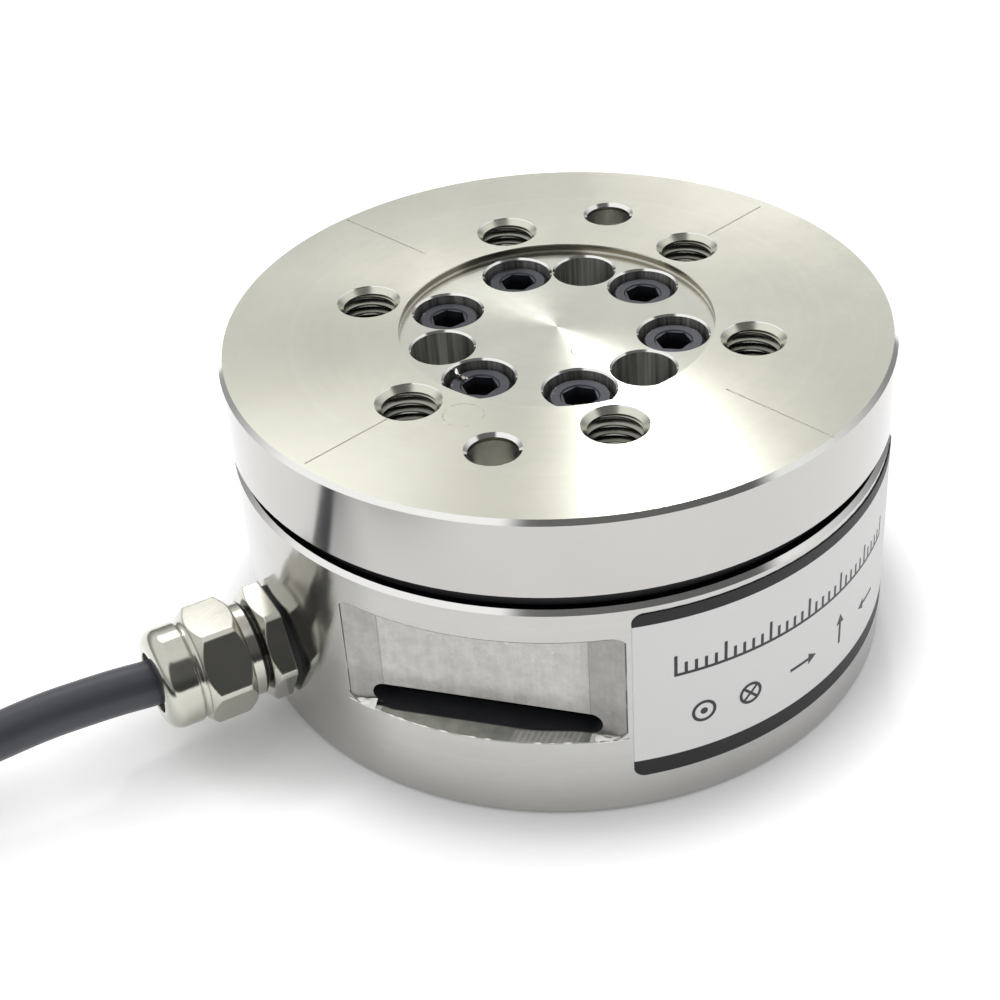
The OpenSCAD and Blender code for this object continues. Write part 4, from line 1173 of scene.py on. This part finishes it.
def gland_point(s):
    """A point on the gland's axis, s from the sensor's own axis."""
    return Vector((s * math.cos(GLAND_ANGLE), s * math.sin(GLAND_ANGLE), GLAND_Z))


def coil_point(heading, t, z):
    """A point on the straight run that touches the coil's outermost turn."""
    out_r = COIL_IN_R + COIL_TURNS * COIL_PITCH
    return COIL_CENTRE + Vector((out_r * math.sin(heading) + t * math.cos(heading),
                                 -out_r * math.cos(heading) + t * math.sin(heading), z))


def lead_route():
    """The lead's centre line, from inside the gland to inside the connector."""
    high_z = LOW_Z + COIL_PITCH
    points = [gland_point(SPLICE_S), gland_point((SPLICE_S + MOUTH_S) / 2)]
    points += [Vector(p) * MM for p in RUN_POINTS]
    points.append(coil_point(COIL_IN, -COIL_MEET, LOW_Z))
    climb = (COIL_AWAY - COIL_IN) / math.tau + COIL_ROUNDS - 2 * COIL_TURNS
    whole = 2 * COIL_TURNS + climb
    steps = ROUND_STEPS * COIL_ROUNDS
    for i in range(steps + 1):
        turns = whole * i / steps
        rise = (turns - COIL_TURNS) / climb
        if rise < 0:
            r = COIL_IN_R + COIL_PITCH * (COIL_TURNS - turns)
        elif rise < 1:
            r = COIL_IN_R - CLIMB_IN * math.sin(math.pi * rise)
        else:
            r = COIL_IN_R + COIL_PITCH * (turns - COIL_TURNS - climb)
        angle = COIL_IN - math.pi / 2 + math.tau * turns
        points.append(COIL_CENTRE + Vector((r * math.cos(angle), r * math.sin(angle),
                                            LOW_Z + COIL_PITCH * smoothstep(rise))))
    points.append(coil_point(COIL_AWAY, COIL_MEET, high_z))
    points += [Vector(p) * MM for p in TAIL_POINTS]
    tail_y = COIL_CENTRE.y + COIL_IN_R + COIL_TURNS * COIL_PITCH
    points += [Vector((CONNECTOR_X, tail_y, CONNECTOR_Z)),
               Vector((CONNECTOR_X - CABLE_SEAT, tail_y, CONNECTOR_Z))]
    return points


def jacket_material(look):
    """Smooth dark rubber, with a faint grain and a dusty sheen."""
    material, g, shader = new_material("lead_rubber", look.jacket, 0.42, Sheen_Weight=0.15)
    where = g.position()
    handled = g.handled(where, 70.0, 0.12, 0.08)
    g.feed(shader.inputs["Base Color"], g.tinted(look.jacket, handled["Tone"]))
    g.feed(shader.inputs["Roughness"], g.math("ADD", 0.43, handled["Rough"]))
    g.feed(shader.inputs["Normal"], g.bump(g.noise(where, 2600, 2), 0.02 * MM, 0.5))
    return material


class SENSOR_OT_lead(bpy.types.Operator):
    """Lay the lead as one curve, from the gland through its coil to the connector"""

    bl_idname = "sensor.lead"
    bl_label = "Lead"

    def execute(self, context):
        look = context.scene.sensor_lead
        material = jacket_material(look)
        paint_nodes(material, "lead_tail")
        points = lead_route()
        data = bpy.data.curves.new("lead", "CURVE")
        data.dimensions = "3D"
        data.bevel_depth = look.diameter / 2
        data.bevel_resolution = 8
        data.resolution_u = 5
        data.use_fill_caps = True
        spline = data.splines.new("BEZIER")
        spline.bezier_points.add(len(points) - 1)
        for knot, point in zip(spline.bezier_points, points):
            knot.co = point
            knot.handle_left_type = knot.handle_right_type = "AUTO"
        data.materials.append(material)
        lead = bpy.data.objects.new("lead", data)
        context.scene.collection.objects.link(lead)
        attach(lead, BODY)
        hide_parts("lead_cable", "cable_coil", "cable_end")
        return {"FINISHED"}


class SENSOR_OT_connector(bpy.types.Operator):
    """Finish the connector on the lead's end and the ties round its coil"""

    bl_idname = "sensor.connector"
    bl_label = "Connector and ties"

    def execute(self, context):
        look = context.scene.sensor_lead
        plating = nickel_material("connector_nickel", look.plating, 0.24)[0]
        paint_nodes(plating, "connector_back", "connector_shell", "connector_ring")
        paint_nodes(plain_material("insert_plastic", INSERT_PLASTIC, 0.42), "connector_insert")
        nylon = plain_material("tie_nylon", TIE_NYLON, 0.38)
        paint_nodes(nylon, "coil_ties")
        # A lock and a cut tail on each tie, at the inside of the coil
        bm = bmesh.new()
        inner = COIL_IN_R - CABLE_D / 2 - 1.3 * MM
        for angle in TIE_ANGLES:
            at = COIL_CENTRE + Vector((inner * math.cos(angle), inner * math.sin(angle), 0))
            turn = Matrix.Rotation(angle, 3, "Z")
            for deep, wide, high, up in ((3.6, 7, 6, 9), (1.2, 4.6, 5, 3.8)):
                verts = bmesh.ops.create_cube(bm, size=1)["verts"]
                bmesh.ops.scale(bm, vec=Vector((deep, wide, high)) * MM, verts=verts)
                edges = list({e for v in verts for e in v.link_edges})
                made = bmesh.ops.bevel(bm, geom=edges, offset=0.5 * MM, offset_type="OFFSET", segments=2,
                                       profile=0.5, affect="EDGES", material=-1)["verts"]
                bmesh.ops.translate(bm, vec=(-deep / 2 * MM, 0, up * MM), verts=made)
                bmesh.ops.rotate(bm, cent=(0, 0, 0), matrix=turn, verts=made)
                bmesh.ops.translate(bm, vec=at, verts=made)
        finish_piece("tie_locks", bm, nylon, smooth=30)
        return {"FINISHED"}


# ---- stage ----

CAMERA_AT = Vector((-174.19, -177.84, 202.04)) * MM
CAMERA_TURN = math.radians(46.23)
CAMERA_DOWN = math.radians(33.57)
CAMERA_ROLL = math.radians(-2.956)
CAMERA_LENS = 65.5
CAMERA_SHIFT = (-0.04398, -0.08291)
# The dark side of the room, behind and right of the camera, as a direction from the sensor
DARK_SIDE = Vector((-0.31, -0.85, 0.42)).normalized()
WHITE = (1, 1, 1, 1)


def heading_vector(heading, height):
    """A direction, from its heading round and its height above level."""
    return Vector((math.cos(heading) * math.cos(height), math.sin(heading) * math.cos(height),
                   math.sin(height)))


def make_camera():
    """The camera that looks down at the flange and the gland."""
    ahead = heading_vector(CAMERA_TURN, -CAMERA_DOWN)
    side = Vector((math.sin(CAMERA_TURN), -math.cos(CAMERA_TURN), 0))
    up = side.cross(ahead)
    across = math.cos(CAMERA_ROLL) * side + math.sin(CAMERA_ROLL) * up
    upright = -math.sin(CAMERA_ROLL) * side + math.cos(CAMERA_ROLL) * up
    data = bpy.data.cameras.new("camera")
    data.lens = CAMERA_LENS
    data.sensor_width = 36
    data.shift_x, data.shift_y = CAMERA_SHIFT
    data.clip_start = 0.01
    data.clip_end = 50
    camera = bpy.data.objects.new("camera", data)
    camera.matrix_world = Matrix.Translation(CAMERA_AT) @ Matrix(
        (across, upright, -ahead)).transposed().to_4x4()
    bpy.context.scene.collection.objects.link(camera)
    bpy.context.scene.camera = camera


def make_world(look):
    """White to the camera, a white studio with a dark side to metal, soft light to the rest."""
    world = bpy.data.worlds.new("studio")
    world.use_nodes = True
    bpy.context.scene.world = world
    g = Graph(world.node_tree)
    background = world.node_tree.nodes["Background"]
    path = g.add("ShaderNodeLightPath").outputs
    mirrored = g.math("MAXIMUM", path["Is Glossy Ray"], path["Is Transmission Ray"])
    direction = g.add("ShaderNodeTexCoord").outputs["Generated"]
    towards = g.vector("DOT_PRODUCT", direction, DARK_SIDE)
    low = g.ramp(g.parts(direction)[2], 0.12, 0.56, look.horizon, 1.0)
    aside = g.ramp(g.parts(direction)[0], -1, 1, 1.22, 0.78, smooth=False)
    room = g.both(low, aside, g.ramp(towards, 0.68, 0.77, 1.0, look.shade))
    lit = g.math("ADD", path["Is Camera Ray"], g.math("MULTIPLY", mirrored, room), clamp=True)
    rest = g.math("SUBTRACT", 1, g.math("MAXIMUM", path["Is Camera Ray"], mirrored))
    g.feed(background.inputs["Strength"], g.math("ADD", lit, g.math("MULTIPLY", rest, look.sky)))
    background.inputs["Color"].default_value = WHITE


def make_floor(look):
    """A large pale floor that keeps the sensor's shadow."""
    bm = bmesh.new()
    bmesh.ops.create_grid(bm, x_segments=1, y_segments=1, size=3)
    mesh = bpy.data.meshes.new("floor")
    bm.to_mesh(mesh)
    bm.free()
    material, g, shader = new_material("floor_white", look.floor, 0.8, Emission_Color=WHITE)
    path = g.add("ShaderNodeLightPath").outputs
    mirrored = g.math("ADD", path["Is Glossy Ray"], path["Is Transmission Ray"])
    seen = g.math("ADD", path["Is Camera Ray"], mirrored, clamp=True)
    open_sky = g.add("ShaderNodeAmbientOcclusion", samples=8)
    open_sky.inputs["Distance"].default_value = 20 * MM
    # The added white fades where the floor is hemmed in, which deepens the shadow round the sensor as
    # painted shade
    lift = g.ramp(open_sky.outputs["AO"], 0.55, 0.93, 0.0, look.floor_lift)
    g.feed(shader.inputs["Emission Strength"], g.both(seen, lift))
    mesh.materials.append(material)
    floor = bpy.data.objects.new("floor", mesh)
    bpy.context.scene.collection.objects.link(floor)


def add_lamp(name, heading, height, distance, size, power):
    """A round lamp in a direction from the sensor, in degrees, aimed back at it."""
    away = heading_vector(math.radians(heading), math.radians(height))
    data = bpy.data.lights.new(name, "AREA")
    data.shape = "DISK"
    data.size = size
    data.energy = power
    lamp = bpy.data.objects.new(name, data)
    lamp.location = away * distance
    lamp.rotation_euler = (-away).to_track_quat("-Z", "Y").to_euler()
    bpy.context.scene.collection.objects.link(lamp)


class SENSOR_OT_stage(bpy.types.Operator):
    """Set up the camera, the white studio, the floor and the two lamps"""

    bl_idname = "sensor.stage"
    bl_label = "Stage"

    def execute(self, context):
        look = context.scene.sensor_stage
        context.scene.view_settings.view_transform = "Standard"
        make_camera()
        make_world(look)
        make_floor(look)
        add_lamp("small", 39, 44, 0.90, 0.078, look.small_power)
        add_lamp("broad", 73, 48, 0.83, 0.336, look.broad_power)
        return {"FINISHED"}


# ---- panel ----

SETTINGS = (("sensor_flange", SensorFlange), ("sensor_screws", SensorScrews), ("sensor_body", SensorBody),
            ("sensor_gland", SensorGland), ("sensor_label", SensorLabel), ("sensor_lead", SensorLead),
            ("sensor_stage", SensorStage))
STEPS = (("stage", "sensor_stage"), ("connector", "sensor_lead"), ("lead", "sensor_lead"),
         ("flange", "sensor_flange"), ("screws", "sensor_screws"), ("body", "sensor_body"),
         ("inside", None), ("base", None), ("gland", "sensor_gland"), ("label", "sensor_label"))


class SENSOR_PT_panel(bpy.types.Panel):
    """The sensor's settings and the steps that make it"""

    bl_idname = "SENSOR_PT_panel"
    bl_label = "Force torque sensor"
    bl_space_type = "VIEW_3D"
    bl_region_type = "UI"
    bl_category = "Sensor"

    def draw(self, context):
        for step, settings in STEPS:
            box = self.layout.box()
            box.operator("sensor." + step)
            if settings:
                values = getattr(context.scene, settings)
                for name in values.bl_rna.properties.keys():
                    if name not in ("rna_type", "name"):
                        box.prop(values, name)


OPERATORS = (SENSOR_OT_stage, SENSOR_OT_lead, SENSOR_OT_connector, SENSOR_OT_flange, SENSOR_OT_screws,
             SENSOR_OT_body, SENSOR_OT_inside, SENSOR_OT_base, SENSOR_OT_gland, SENSOR_OT_label)


def register():
    """Adds the settings, the operators and the panel."""
    for name, settings in SETTINGS:
        bpy.utils.register_class(settings)
        setattr(bpy.types.Scene, name, PointerProperty(type=settings))
    for item in (*OPERATORS, SENSOR_PT_panel):
        bpy.utils.register_class(item)


def unregister():
    """Takes them away again."""
    for item in (SENSOR_PT_panel, *reversed(OPERATORS)):
        bpy.utils.unregister_class(item)
    for name, settings in reversed(SETTINGS):
        delattr(bpy.types.Scene, name)
        bpy.utils.unregister_class(settings)


def main():
    """Makes the whole sensor."""
    register()
    for step, _ in STEPS:
        getattr(bpy.ops.sensor, step)()


if __name__ == "__main__":
    main()
